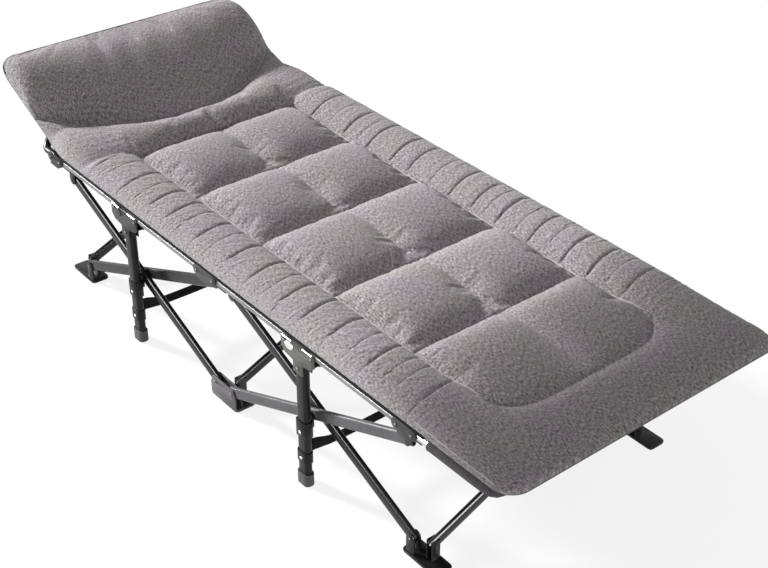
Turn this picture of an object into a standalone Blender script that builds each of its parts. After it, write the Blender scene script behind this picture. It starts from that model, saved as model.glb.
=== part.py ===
"""Folding camp cot with five rows of legs, side and cross scissors, and a quilted bed with a raised pillow.

+X runs from the head end to the foot end, +Y from the left side to the right side as seen from the
foot end, and +Z up. The floor is at z = 0, and the origin is under the middle of the whole cot.
"""
import math

import bmesh
import bpy
from mathutils import Matrix, Vector

# Driving dimensions of the layout, in metres
TOTAL_LENGTH = 1.900
MID_X = 0.017
BAY = 0.333
LINK = 0.032
PIVOT_LOW = 0.042
PIVOT_HIGH = 0.297
CROSS_PIVOT_Y = BAY - LINK
RAIL_Y = 0.357
RAIL_Z = 0.352
BED_HALF_WIDTH = 0.366
HEAD_HALF_WIDTH = 0.350
NARROW_FROM = -0.610
NARROW_TO = -0.730
BED_CORNER = 0.045

# Tubes: flat ovals for the scissors and the legs, round ones for the rails
TUBE_TALL = 0.028
TUBE_THICK = 0.013
CROSS_TALL = 0.026
CROSS_THICK = 0.012
RAIL_RADIUS = 0.0095
LEG_WIDE = 0.032
LEG_DEEP = 0.018
WALL = 0.001
TUBE_OVER = 0.009
RAIL_OVER = 0.007
INNER_Y = 0.3165
OUTER_Y = 0.3325
CROSS_X = 0.0075

# Rail hinges, measured along X from the middle of the bracket that holds them
RAIL_PIVOT = 0.030
ARM_PIVOT = 0.014
LEG_PIVOT = 0.045

# Rivets, gaps and plates
PIN_RADIUS = 0.003
HOLE_RADIUS = 0.0034
HEAD_RADIUS = 0.0048
HEAD_THICK = 0.0015
PIN_SIDES = 8
PIN_REACH = 0.0105
PIN_PROUD = 0.0008
BITE = 0.0005
GAP = 0.0004
PLATE = 0.0025
LUG_RADIUS = 0.012
SINK = 0.001
CLEVIS_DEEP = 0.012

# Top brackets: a block under the rails' level and two plates beside the rails
BLOCK_LOW = 0.3195
BLOCK_HIGH = 0.336
BLOCK_INNER_Y = 0.3045
BLOCK_NOSE_Y = 0.2890
NOSE_HALF = 0.0175
SKIRT_Z = 0.332
SKIRT_HALF = 0.020
BRIDGE_LOW = 0.338
PLATE_HIGH = 0.344
CLOTH_GAP = 0.0003

# Shoes: a sole and the lugs or plates that stand on it
SOLE_LONG = 0.104
SOLE_THICK = 0.006
SOLE_CORNER = 0.008
SOLE_WIDE = {"head": 0.046, "mid": 0.054, "foot": 0.046}
SOLE_Y = {"head": 0.3075, "mid": 0.3155, "foot": 0.3075}

# Legs
LEG_TOP = 0.318
LEG_SOLE = 0.005
COLLAR_LOW = 0.127
COLLAR_HIGH = 0.166
COLLAR_WALL = 0.0028
CUFF_LOW = 0.060
CUFF_HIGH = 0.086
CUFF_WALL = 0.0025
FOOT_HIGH = 0.029
FOOT_WALL = 0.003
LEG_CORNER = 0.006
EAR_RADIUS = 0.010
EAR_LOW = 0.145

# Leg brackets: two plates beside the rails, which narrow to a tongue over the leg
WING_HALF = 0.055
WING_CORNER = 0.012
TONGUE_HALF = 0.016
TONGUE_DEEP = 0.030
SHOULDER_DEEP = 0.004
WING_OVER = 0.006
FLOOR_HALF = 0.040
LEG_RIVET_DROP = 0.004
TONGUE_RIVET_DROP = 0.016

# Straps, wider where they are sewn round a leg
STRAP_THICK = 0.0016
STRAP_LOW = 0.072
STRAP_HIGH = 0.094
STRAP_ROOT_LOW = 0.0685
STRAP_ROOT_HIGH = 0.1130
STRAP_TAPER_Y = 0.285

# Bed: the cloth lies on the brackets, and its head end slopes up
CLOTH_UNDER = 0.3650
CLOTH_THICK = 0.0024
HEAD_BEND_X = -0.703
HEAD_SLOPE = math.radians(24.9)
PAD_EDGE = 0.004
SEWN_HEIGHT = 0.006
TUFT_CROWN = 0.036
BOLSTER_CROWN = 0.034
BOLSTER_CREST = 0.302
PILLOW_CROWN = 0.042
SEAM_Y = 0.223
TUFT_SEAMS = (-0.500, -0.255, 0.001, 0.260, 0.512, 0.773)
ARC_MIDDLE = -0.622
ARC_RISE = 0.152
ARC_POWER = 1.9
ARC_REACH = 0.340
EDGE_ROLL = 0.040
PILLOW_ROLL = 0.050
PILLOW_COLUMNS = 8
PILLOW_LEAN = 1.4
ROLL_SHARE = 0.9
PANEL_SHARE = 0.55
PANEL_RISE = 0.030
TUFT_LEAN = 0.86
TUFT_POWER = 0.62
ROLL_POWER = 0.55
ROUND_POWER = 2.3
GROOVE_REACH = 0.020
VALLEY_REACH = 0.034
LOW_END_FROM = 0.620
LOW_END_RUN = 0.250
LOW_END_SHARE = 0.42
PAD_ROWS = (
    0, 0.018, 0.050, 0.110, 0.170, 0.205, 0.222, 0.224, 0.240, 0.262, 0.302, 0.335, 0.354, 0.363, 0.366,
)
TUFT_SHARES = (0.05, 0.18, 0.42, 0.70, 0.88, 0.97, 1.0)

# Arms: the head arms bend inwards past their bracket and rise just under the cloth
ARM_DROP = 0.0190
ARM_TURN_FROM = -0.715
ARM_TURN_TO = -0.763
ARM_STEPS = 8
ARM_INNER_Y = 0.325
HEAD_ARM_END = -0.915
FOOT_ARM_END = 0.885

# What follows from them
HEAD_END = MID_X - 0.967
FOOT_END = HEAD_END + TOTAL_LENGTH
ROWS = {"head": -2 * BAY, "mid": 0.0, "foot": 2 * BAY}
LEGS = {"fore": -BAY, "aft": BAY}
SIDES = {"left": -1, "right": 1}
TOP_PINS = {
    "head": (-ARM_PIVOT, RAIL_PIVOT), "mid": (-RAIL_PIVOT, RAIL_PIVOT), "foot": (-RAIL_PIVOT, ARM_PIVOT),
}
BLOCK_REACH = {"head": (-0.018, 0.045), "mid": (-0.045, 0.045), "foot": (-0.045, 0.018)}
BRIDGE_REACH = {"head": (0.0005, 0.0155), "mid": (-0.012, 0.012), "foot": (-0.0155, -0.0005)}
CROSSING_Z = (PIVOT_LOW + PIVOT_HIGH) / 2
PLATE_IN = RAIL_Y - RAIL_RADIUS - GAP
PLATE_OUT = RAIL_Y + RAIL_RADIUS + GAP
ALONG_Y = Matrix(((1, 0, 0, 0), (0, 0, -1, 0), (0, 1, 0, 0), (0, 0, 0, 1)))
ALONG_X = Matrix(((0, 0, 1, 0), (1, 0, 0, 0), (0, 1, 0, 0), (0, 0, 0, 1)))


def collection(name):
    """A collection under the scene's own one."""
    found = bpy.data.collections.new(name)
    bpy.context.scene.collection.children.link(found)
    return found


def material(name, colour, roughness, metallic=0.0):
    """A plain Principled material."""
    made = bpy.data.materials.new(name)
    made.use_nodes = True
    shader = made.node_tree.nodes["Principled BSDF"]
    shader.inputs["Base Color"].default_value = (*colour, 1)
    shader.inputs["Roughness"].default_value = roughness
    shader.inputs["Metallic"].default_value = metallic
    return made


def arc(centre, radius, start, end, steps):
    """Points round part of a circle, angles in degrees."""
    for i in range(steps + 1):
        turn = math.radians(start + (end - start) * i / steps)
        yield (centre[0] + radius * math.cos(turn), centre[1] + radius * math.sin(turn))


def oval(wide, tall, corner, steps=2):
    """A box outline with round corners, centred on the origin."""
    x, y = wide / 2 - corner, tall / 2 - corner
    points = []
    for number, (cx, cy) in enumerate(((x, y), (-x, y), (-x, -y), (x, -y))):
        points += arc((cx, cy), corner, 90 * number, 90 * number + 90, steps)
    return points


def flat_oval(thick, tall):
    """The section of a flat oval tube: two straight sides and two half circles."""
    r, straight = thick / 2, tall / 2 - thick / 2
    return [*arc((0, straight), r, 0, 180, 4), *arc((0, -straight), r, 180, 360, 4)]


def circle(radius, sides=10):
    """A round section."""
    return list(arc((0, 0), radius, 0, 360, sides))[:-1]


def slab(loops, thickness, place):
    """A flat outline, with a hole for each further loop, given a thickness and put in its place."""
    curve = bpy.data.curves.new("outline", "CURVE")
    curve.dimensions = "2D"
    curve.fill_mode = "BOTH"
    curve.extrude = thickness / 2
    for loop in loops:
        spline = curve.splines.new("POLY")
        spline.points.add(len(loop) - 1)
        for point, (u, v) in zip(spline.points, loop):
            point.co = (u, v, 0, 1)
        spline.use_cyclic_u = True
    carrier = bpy.data.objects.new("outline", curve)
    bpy.context.scene.collection.objects.link(carrier)
    depsgraph = bpy.context.evaluated_depsgraph_get()
    mesh = bpy.data.meshes.new_from_object(carrier.evaluated_get(depsgraph))
    bpy.data.objects.remove(carrier)
    shape = bmesh.new()
    shape.from_mesh(mesh)
    bmesh.ops.remove_doubles(shape, verts=shape.verts, dist=0.00001)
    shape.transform(place)
    bmesh.ops.recalc_face_normals(shape, faces=shape.faces)
    shape.to_mesh(mesh)
    shape.free()
    mesh.materials.clear()
    return mesh


def plate(outline, y_low, y_high, place=Matrix()):
    """An upright plate: an outline in X and Z, from one Y to another."""
    middle = Matrix.Translation((0, (y_low + y_high) / 2, 0))
    return slab([outline], abs(y_high - y_low), place @ middle @ ALONG_Y)


def box(low, high):
    """A block between two corners."""
    low, high = Vector(low), Vector(high)
    shape = bmesh.new()
    size = Matrix.Diagonal((*[abs(a) for a in high - low], 1))
    bmesh.ops.create_cube(shape, size=1, matrix=Matrix.Translation((low + high) / 2) @ size)
    return as_mesh(shape)


def rod(start, end, radius, sides=PIN_SIDES):
    """A round bar between two points."""
    start, end = Vector(start), Vector(end)
    turn = (end - start).to_track_quat("Z", "Y").to_matrix().to_4x4()
    shape = bmesh.new()
    bmesh.ops.create_cone(
        shape, cap_ends=True, segments=sides, radius1=radius, radius2=radius,
        depth=(end - start).length, matrix=Matrix.Translation((start + end) / 2) @ turn,
    )
    return as_mesh(shape)


def as_mesh(shape):
    """Turns a bmesh into a mesh and frees it."""
    mesh = bpy.data.meshes.new("shape")
    shape.to_mesh(mesh)
    shape.free()
    return mesh


def joined(meshes):
    """Several meshes that don't touch each other, as one."""
    shape = bmesh.new()
    for mesh in meshes:
        shape.from_mesh(mesh)
    return as_mesh(shape)


def part(name, mesh, origin, finish):
    """A named part whose own origin stands on its joint's axis."""
    mesh.name = name
    mesh.transform(Matrix.Translation(-Vector(origin)))
    mesh.materials.append(finish)
    made = bpy.data.objects.new(name, mesh)
    made.location = origin
    PARTS.objects.link(made)
    return made


def boolean(target, meshes, operation):
    """Joins the meshes to a part, or cuts them out of it, in one step. They don't touch each other."""
    tool = bpy.data.objects.new(f"{target.name}_{operation.lower()}", joined(meshes))
    tool.hide_render = True
    tool.display_type = "WIRE"
    CUTTERS.objects.link(tool)
    step = target.modifiers.new(operation.title(), "BOOLEAN")
    step.operation = operation
    step.solver = "EXACT"
    step.object = tool


def add(target, *meshes):
    """Joins one mesh after another to a part."""
    for mesh in meshes:
        boolean(target, [mesh], "UNION")


def cut(target, *meshes):
    """Cuts meshes that don't touch each other out of a part."""
    boolean(target, meshes, "DIFFERENCE")


def tube_place(start, end, across):
    """A place whose Z runs from start to end and whose X runs across."""
    run = (Vector(end) - Vector(start)).normalized()
    across = Vector(across)
    place = Matrix((across, run.cross(across), run)).transposed().to_4x4()
    place.translation = (Vector(start) + Vector(end)) / 2
    return place


def flat_tube(start, end, across, thick, tall):
    """A hollow flat oval tube that runs past both of its pivots."""
    length = (Vector(end) - Vector(start)).length + 2 * TUBE_OVER
    loops = [flat_oval(thick, tall), flat_oval(thick - 2 * WALL, tall - 2 * WALL)]
    return slab(loops, length, tube_place(start, end, across))


def cross_pin(x, y_start, y_end, z, radius):
    """A pin or a rivet head that runs along Y."""
    return rod((x, y_start, z), (x, y_end, z), radius)


def pin_hole(point, across, reach=0.010):
    """What a pin's hole takes out, through both walls of a tube."""
    half = Vector(across) * reach
    return rod(Vector(point) - half, Vector(point) + half, HOLE_RADIUS)


def side_tube(name, side, plane, low_x, high_x, with_pin):
    """One tube of a side scissor, hinged at its low end, with the crossing pin or its hole."""
    y = side * plane
    low = Vector((MID_X + low_x, y, PIVOT_LOW))
    high = Vector((MID_X + high_x, y, PIVOT_HIGH))
    middle = (low + high) / 2
    across = (0, 1, 0)
    tube = part(name, flat_tube(low, high, across, TUBE_THICK, TUBE_TALL), low, STEEL)
    cut(tube, pin_hole(low, across), pin_hole(high, across))
    if not with_pin:
        cut(tube, pin_hole(middle, across))
        return
    inside = INNER_Y - TUBE_THICK / 2 - GAP
    outside = OUTER_Y + TUBE_THICK / 2 + 0.004
    add(
        tube,
        cross_pin(middle.x, side * outside, side * (inside - 0.001), middle.z, PIN_RADIUS),
        cross_pin(middle.x, side * inside, side * (inside - HEAD_THICK), middle.z, HEAD_RADIUS),
    )


def cross_tube(name, row_x, sign):
    """One tube of a cross scissor. Sign +1 rises to the right and holds the crossing pin."""
    x = MID_X + row_x + sign * CROSS_X
    low = Vector((x, -sign * CROSS_PIVOT_Y, PIVOT_LOW))
    high = Vector((x, sign * CROSS_PIVOT_Y, PIVOT_HIGH))
    middle = (low + high) / 2
    across = (1, 0, 0)
    origin = low if sign > 0 else middle
    tube = part(name, flat_tube(low, high, across, CROSS_THICK, CROSS_TALL), origin, STEEL)
    cut(tube, pin_hole(low, across), pin_hole(high, across))
    if sign < 0:
        cut(tube, pin_hole(middle, across))
        return
    reach = CROSS_X + CROSS_THICK / 2 + GAP
    centre = MID_X + row_x
    shaft = rod((centre - reach - 0.001, 0, middle.z), (centre + reach, 0, middle.z), PIN_RADIUS)
    head = rod((centre - reach, 0, middle.z), (centre - reach - HEAD_THICK, 0, middle.z), HEAD_RADIUS)
    add(tube, shaft, head)


def lug(x, y_low, y_high, root_z, tip_z):
    """A tongue from a root level to a round tip about a pivot."""
    way = 1 if tip_z > root_z else -1
    tip = list(arc((x, tip_z), LUG_RADIUS, 0, 180 * way, 6))
    root = [(x - LUG_RADIUS, root_z), (x + LUG_RADIUS, root_z)]
    return plate(tip + root, y_low, y_high)


def lug_pair(side, plane, thick):
    """The Y ranges of two lugs, one on each side of a tube."""
    face = thick / 2 + GAP
    inner = (side * (plane - face - PLATE), side * (plane - face))
    outer = (side * (plane + face), side * (plane + face + PLATE))
    return [inner, outer]


def side_pivots(row):
    """Where a row's side scissor tubes are pinned, along X from the row."""
    return {"head": (LINK,), "mid": (-LINK, LINK), "foot": (-LINK,)}[row]


def clevis(x, side, z_low, z_high):
    """Two plates that hold the end of a cross tube between them."""
    face = CROSS_THICK / 2 + GAP
    y_in, y_out = side * (CROSS_PIVOT_Y - CLEVIS_DEEP), side * (INNER_Y - TUBE_THICK / 2 - GAP)
    return [
        box((x + way * face, y_in, z_low), (x + way * (face + PLATE), y_out, z_high)) for way in (-1, 1)
    ]


def clevis_pin(x, side, z):
    """The pin through a clevis."""
    reach = CROSS_THICK / 2 + GAP + PLATE + PIN_PROUD
    y = side * CROSS_PIVOT_Y
    return rod((x - reach, y, z), (x + reach, y, z), PIN_RADIUS)


def top_bracket(row, side_name):
    """A bracket at the head, middle or foot: it holds two rails, the side scissor and a cross tube."""
    side, x = SIDES[side_name], MID_X + ROWS[row]
    plane = INNER_Y if row == "mid" else OUTER_Y
    lobe = CLOTH_UNDER - CLOTH_GAP - RAIL_Z
    inner = (side * (PLATE_IN - PLATE), side * PLATE_IN)
    outer = (side * PLATE_OUT, side * (PLATE_OUT + PLATE))
    low_pin, high_pin = (x + offset for offset in TOP_PINS[row])
    start, end = (x + offset for offset in BLOCK_REACH[row])
    bridge = [x + offset for offset in BRIDGE_REACH[row]]
    lobes = [*arc((high_pin, RAIL_Z), lobe, -90, 90, 8), *arc((low_pin, RAIL_Z), lobe, 90, 270, 8)]
    skirt = [(x - SKIRT_HALF, SKIRT_Z), (x + SKIRT_HALF, SKIRT_Z)]
    pivots = [x + offset for offset in side_pivots(row)]
    origin = (pivots[0], side * RAIL_Y, PIVOT_HIGH)
    bracket = part(f"{row}_bracket_{side_name}", plate(lobes + skirt, *outer), origin, PLASTIC)
    cross_x = x + side * CROSS_X
    step = side * SINK
    add(
        bracket,
        box((bridge[0], outer[1] - step, BRIDGE_LOW), (bridge[1], inner[0] + step, RAIL_Z + lobe - SINK)),
        plate(lobes, *inner),
        box((start, inner[1], BLOCK_LOW), (end, inner[0], PLATE_HIGH)),
        box((start, inner[1] - step, BLOCK_LOW + SINK / 2), (end, side * BLOCK_INNER_Y, BLOCK_HIGH)),
        box(
            (x - NOSE_HALF, side * (BLOCK_INNER_Y + 0.0055), BLOCK_LOW + SINK),
            (x + NOSE_HALF, side * BLOCK_NOSE_Y, BLOCK_HIGH - SINK),
        ),
    )
    for pivot in pivots:
        for y_low, y_high in lug_pair(side, plane, TUBE_THICK):
            add(bracket, lug(pivot, y_low, y_high, SKIRT_Z, PIVOT_HIGH))
    boolean(bracket, clevis(cross_x, side, PIVOT_HIGH - 0.013, BLOCK_HIGH - 0.003), "UNION")
    low_y, high_y = side * (plane - PIN_REACH), side * (plane + PIN_REACH)
    pins = [cross_pin(pivot, low_y, high_y, PIVOT_HIGH, PIN_RADIUS) for pivot in pivots]
    pins.append(clevis_pin(cross_x, side, PIVOT_HIGH))
    boolean(bracket, pins, "UNION")
    rail_pins, heads = [], []
    face, back = outer[1], inner[0] + side * BITE
    for px in (low_pin, high_pin):
        rail_pins.append(cross_pin(px, back, face + side * PIN_PROUD, RAIL_Z, PIN_RADIUS))
        heads.append(cross_pin(px, face - side * BITE, face + side * HEAD_THICK, RAIL_Z, HEAD_RADIUS))
    boolean(bracket, rail_pins, "UNION")
    boolean(bracket, heads, "UNION")


def shoe(row, side_name):
    """A shoe on the floor at the head, middle or foot: it holds the side scissor and a cross tube."""
    side, x = SIDES[side_name], MID_X + ROWS[row]
    plane = OUTER_Y if row == "mid" else INNER_Y
    cross_x = x - side * CROSS_X
    pivots = [x + offset for offset in side_pivots(row)]
    sole_y, root = side * SOLE_Y[row], SOLE_THICK / 2
    sole = oval(SOLE_LONG, SOLE_WIDE[row], SOLE_CORNER)
    base = slab([sole], SOLE_THICK, Matrix.Translation((x, sole_y, root)))
    made = part(f"{row}_shoe_{side_name}", base, (pivots[0], sole_y, PIVOT_LOW), PLASTIC)
    for y_low, y_high in lug_pair(side, plane, TUBE_THICK):
        if row == "mid":
            foot, shoulder, top = SOLE_LONG / 2 - 0.003, 0.034, 0.055
            left = [(-foot, root), (-foot, shoulder), (-foot + 0.009, top)]
            outline = [(x + u, z) for u, z in left] + [(x - u, z) for u, z in reversed(left)]
            add(made, plate(outline, y_low, y_high))
        else:
            add(made, lug(pivots[0], y_low, y_high, root, PIVOT_LOW))
    boolean(made, clevis(cross_x, side, root, PIVOT_LOW + LUG_RADIUS), "UNION")
    pins, heads = [clevis_pin(cross_x, side, PIVOT_LOW)], []
    back, face = side * (plane - PIN_REACH), side * (plane + TUBE_THICK / 2 + GAP + PLATE)
    for pivot in pivots:
        pins.append(cross_pin(pivot, back, face + side * PIN_PROUD, PIVOT_LOW, PIN_RADIUS))
        heads.append(cross_pin(pivot, face - side * BITE, face + side * HEAD_THICK, PIVOT_LOW, HEAD_RADIUS))
    boolean(made, pins, "UNION")
    boolean(made, heads, "UNION")


def rail(name, side, hinge_x, far_x):
    """One round rail half, hinged at a corner or middle bracket and ending at a leg."""
    y = side * RAIL_Y
    way = 1 if far_x > hinge_x else -1
    start = Vector((MID_X + hinge_x - way * RAIL_OVER, y, RAIL_Z))
    end = Vector((MID_X + far_x + way * RAIL_OVER, y, RAIL_Z))
    loops = [circle(RAIL_RADIUS), circle(RAIL_RADIUS - WALL)]
    hinge = Vector((MID_X + hinge_x, y, RAIL_Z))
    made = part(name, slab(loops, (end - start).length, tube_place(start, end, (0, 1, 0))), hinge, STEEL)
    cut(made, pin_hole(hinge, (0, 1, 0), 0.012))


def arm(name, side, hinge_x, points):
    """A round arm past the head or foot bracket, which carries that end of the bed."""
    curve = bpy.data.curves.new(name, "CURVE")
    curve.dimensions = "3D"
    curve.bevel_depth = RAIL_RADIUS
    curve.bevel_resolution = 1
    curve.use_fill_caps = True
    spline = curve.splines.new("POLY")
    spline.points.add(len(points) - 1)
    for point, (x, y, z) in zip(spline.points, points):
        point.co = (MID_X + x, side * y, z, 1)
    carrier = bpy.data.objects.new(name, curve)
    bpy.context.scene.collection.objects.link(carrier)
    depsgraph = bpy.context.evaluated_depsgraph_get()
    mesh = bpy.data.meshes.new_from_object(carrier.evaluated_get(depsgraph))
    bpy.data.objects.remove(carrier)
    shape = bmesh.new()
    shape.from_mesh(mesh)
    bmesh.ops.remove_doubles(shape, verts=shape.verts, dist=0.00001)
    bmesh.ops.recalc_face_normals(shape, faces=shape.faces)
    shape.to_mesh(mesh)
    shape.free()
    hinge = Vector((MID_X + hinge_x, side * RAIL_Y, RAIL_Z))
    made = part(name, mesh, hinge, STEEL)
    cut(made, pin_hole(hinge, (0, 1, 0), 0.012))


def head_arm_points():
    """A head arm's way: level at its hinge, then inwards past the bracket and up along the cloth."""
    yield -2 * BAY - ARM_PIVOT + RAIL_OVER, RAIL_Y, RAIL_Z
    for step in range(ARM_STEPS + 1):
        share = step / ARM_STEPS
        x = ARM_TURN_FROM + (ARM_TURN_TO - ARM_TURN_FROM) * share
        y = RAIL_Y + (ARM_INNER_Y - RAIL_Y) * share * share * (3 - 2 * share)
        yield x, y, max(RAIL_Z, CLOTH_UNDER - ARM_DROP + bed_rise(MID_X + x))
    yield HEAD_ARM_END, ARM_INNER_Y, CLOTH_UNDER - ARM_DROP + bed_rise(MID_X + HEAD_ARM_END)


def leg_outline(extra=0.0):
    """The leg's section, made larger or smaller all round."""
    return oval(LEG_WIDE + 2 * extra, LEG_DEEP + 2 * extra, LEG_CORNER + extra)


def upright(loops, z_low, z_high, x, y):
    """Outlines in X and Y, from one level to another."""
    return slab(loops, z_high - z_low, Matrix.Translation((x, y, (z_low + z_high) / 2)))


def leg_plate_outline(x, web):
    """A leg bracket's plate: two wings beside the rails and a tongue over the leg's top."""
    right = [
        (TONGUE_HALF, LEG_TOP - TONGUE_DEEP), (TONGUE_HALF, LEG_TOP - SHOULDER_DEEP),
        (WING_HALF - WING_CORNER, web), (WING_HALF, web + WING_CORNER), (WING_HALF, RAIL_Z + WING_OVER),
    ]
    return [(x + u, z) for u, z in right] + [(x - u, z) for u, z in reversed(right)]


def leg(which, side_name):
    """A leg with its bracket under the rails, its sliding collar, its cuff and its rubber foot."""
    side, x = SIDES[side_name], MID_X + LEGS[which]
    y = side * RAIL_Y
    centre = (x, y, CROSSING_Z)
    tube = part(
        f"{which}_leg_{side_name}",
        upright([leg_outline(), leg_outline(-WALL)], LEG_SOLE + GAP, LEG_TOP, x, y), centre, STEEL,
    )
    add(tube, upright([leg_outline(CUFF_WALL), leg_outline(-WALL / 2)], CUFF_LOW, CUFF_HIGH, x, y))

    inner = (side * (PLATE_IN - PLATE), side * PLATE_IN)
    outer = (side * PLATE_OUT, side * (PLATE_OUT + PLATE))
    web = LEG_TOP + GAP
    outline = leg_plate_outline(x, web)
    bracket = part(f"{which}_leg_bracket_{side_name}", plate(outline, *outer), centre, STEEL)
    floor = box(
        (x - FLOOR_HALF, inner[0] + side * BITE, web + 0.0001),
        (x + FLOOR_HALF, outer[1] - side * BITE, web + PLATE),
    )
    add(bracket, floor, plate(outline, *inner))
    rivet_z = RAIL_Z - LEG_RIVET_DROP
    places = [(x - LEG_PIVOT, rivet_z), (x + LEG_PIVOT, rivet_z), (x, LEG_TOP - TONGUE_RIVET_DROP)]
    low_y, high_y = outer[1] - side * BITE, outer[1] + side * HEAD_THICK
    boolean(bracket, [cross_pin(a, low_y, high_y, b, HEAD_RADIUS) for a, b in places], "UNION")

    ring = [leg_outline(GAP + COLLAR_WALL), leg_outline(GAP)]
    sleeve = upright(ring, COLLAR_LOW, COLLAR_HIGH, x, y)
    collar = part(f"{which}_leg_collar_{side_name}", sleeve, centre, PLASTIC)
    wall = RAIL_Y - LEG_DEEP / 2 - GAP
    ear_out, ear_in = side * (wall - BITE), side * (OUTER_Y + TUBE_THICK / 2 + GAP)
    ear = [(x - EAR_RADIUS, EAR_LOW), (x + EAR_RADIUS, EAR_LOW), *arc((x, CROSSING_Z), EAR_RADIUS, 0, 180, 6)]
    add(collar, plate(ear, ear_out, ear_in))
    cut(collar, cross_pin(x, ear_in - side * 0.002, ear_out + side * 0.002, CROSSING_Z, HOLE_RADIUS))

    block = upright([leg_outline(GAP + FOOT_WALL)], 0, FOOT_HIGH, x, y)
    foot = part(f"{which}_leg_foot_{side_name}", block, centre, RUBBER)
    cut(foot, upright([leg_outline(GAP)], LEG_SOLE, FOOT_HIGH + 0.01, x, y))


def strap(which):
    """The webbing between the left and right legs, wider where it is sewn round each leg."""
    x = MID_X + LEGS[which]
    end = RAIL_Y - LEG_DEEP / 2 - CUFF_WALL - GAP
    right = [
        (STRAP_TAPER_Y, STRAP_LOW), (end, STRAP_ROOT_LOW),
        (end, STRAP_ROOT_HIGH), (STRAP_TAPER_Y, STRAP_HIGH),
    ]
    outline = right + [(-y, z) for y, z in reversed(right)]
    place = Matrix.Translation((x, 0, 0)) @ ALONG_X
    part(f"{which}_strap", slab([outline], STRAP_THICK, place), (x, -RAIL_Y, CROSSING_Z), WEBBING)


def bed_rise(x):
    """How far the sloping head end has risen at an X."""
    return max(0.0, (MID_X + HEAD_BEND_X - x) * math.tan(HEAD_SLOPE))


def half_width(x):
    """Half the bed's width at an X: narrower at the head, with round corners at both ends."""
    share = min(max((MID_X + NARROW_FROM - x) / (NARROW_FROM - NARROW_TO), 0.0), 1.0)
    ease = share * share * (3 - 2 * share)
    width = BED_HALF_WIDTH + (HEAD_HALF_WIDTH - BED_HALF_WIDTH) * ease
    inside = min(x - HEAD_END, FOOT_END - x, BED_CORNER)
    short = BED_CORNER - max(inside, 0.0)
    return width - BED_CORNER + math.sqrt(BED_CORNER**2 - short**2)


def bed_cloth():
    """The bed's base cloth, one thin sheet that lies on the brackets and slopes up at the head."""
    corner = [BED_CORNER * (1 - math.cos(math.radians(18 * step))) for step in range(6)]
    narrowing = [NARROW_TO + (NARROW_FROM - NARROW_TO) * share for share in (0, 0.12, 0.40, 0.60, 0.80, 1)]
    middle = [MID_X + x for x in sorted((*narrowing, HEAD_BEND_X))]
    places = [HEAD_END + d for d in corner] + middle + [FOOT_END - d for d in reversed(corner)]
    shape = bmesh.new()
    rings = []
    for x in places:
        z, width = CLOTH_UNDER + bed_rise(x), half_width(x)
        corners = ((-width, z), (width, z), (width, z + CLOTH_THICK), (-width, z + CLOTH_THICK))
        rings.append([shape.verts.new((x, y, level)) for y, level in corners])
    for ring, after in zip(rings, rings[1:]):
        for k in range(4):
            shape.faces.new((ring[k], ring[k - 1], after[k - 1], after[k]))
    shape.faces.new(rings[0])
    shape.faces.new(rings[-1])
    bmesh.ops.recalc_face_normals(shape, faces=shape.faces)
    part("bed_cloth", as_mesh(shape), (MID_X, 0, CLOTH_UNDER), DARK_CLOTH)


def pillow_edge(y):
    """X of the curved seam between the pad and the pillow."""
    return MID_X + ARC_MIDDLE - ARC_RISE * (abs(y) / ARC_REACH) ** ARC_POWER


def puff(share, power):
    """0 at both ends of a cell and 1 in its middle."""
    return math.sin(math.pi * min(max(share, 0.0), 1.0)) ** power


def smooth(value, low, high):
    """0 below low, 1 above high and a smooth step between."""
    share = min(max((value - low) / (high - low), 0.0), 1.0)
    return share * share * (3 - 2 * share)


def roll_height(x, y):
    """Height of the neck roll between the pillow and the first tufts, as a share."""
    start, end = pillow_edge(y), MID_X + TUFT_SEAMS[0]
    return ROLL_SHARE * puff((x - start) / (end - start), ROLL_POWER)


def tuft_height(x, y):
    """Height of the tufts and of the plain panel after them, as a share."""
    seams = [MID_X + seam for seam in TUFT_SEAMS]
    beside = 1 - math.exp(-(SEAM_Y - abs(y)) / GROOVE_REACH)
    for start, end in zip(seams, seams[1:]):
        if x <= end:
            length = ((x - start) / (end - start)) ** TUFT_LEAN
            valley = 1 - (0.62 - 0.42 * puff(length, 1.0)) * math.exp(-((abs(y) / VALLEY_REACH) ** 1.5))
            return puff(length, TUFT_POWER) * valley * beside
    return PANEL_SHARE * min((x - seams[-1]) / PANEL_RISE, 1.0) * beside


def bolster_height(x, y):
    """Height of the bolsters along both sides, which run into the neck roll, as a share."""
    inner = min((abs(y) - SEAM_Y) / (BOLSTER_CREST - SEAM_Y), 1.0)
    outer = max((abs(y) - BOLSTER_CREST) / (BED_HALF_WIDTH - BOLSTER_CREST), 0.0)
    share = (1 - (1 - inner) ** 2.2) ** TUFT_POWER
    first = MID_X + TUFT_SEAMS[0]
    if x < first:
        share = max(roll_height(x, y), share * smooth(x, pillow_edge(y), first))
    return share * math.sqrt(1 - min(outer, 1.0) ** ROUND_POWER)


def pad_height(x, y):
    """Thickness of the quilted pad: a neck roll, a bolster along each side and two columns of tufts."""
    if abs(y) > SEAM_Y:
        crown = BOLSTER_CROWN * bolster_height(x, y)
    elif x < MID_X + TUFT_SEAMS[0]:
        crown = TUFT_CROWN * roll_height(x, y)
    else:
        crown = TUFT_CROWN * tuft_height(x, y)
    low_end = 1 - LOW_END_SHARE * min(max((x - LOW_END_FROM) / LOW_END_RUN, 0.0), 1.0)
    foot = min(max((x - (FOOT_END - EDGE_ROLL)) / EDGE_ROLL, 0.0), 1.0)
    return SEWN_HEIGHT + crown * low_end * math.sqrt(1 - foot**ROUND_POWER)


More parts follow.
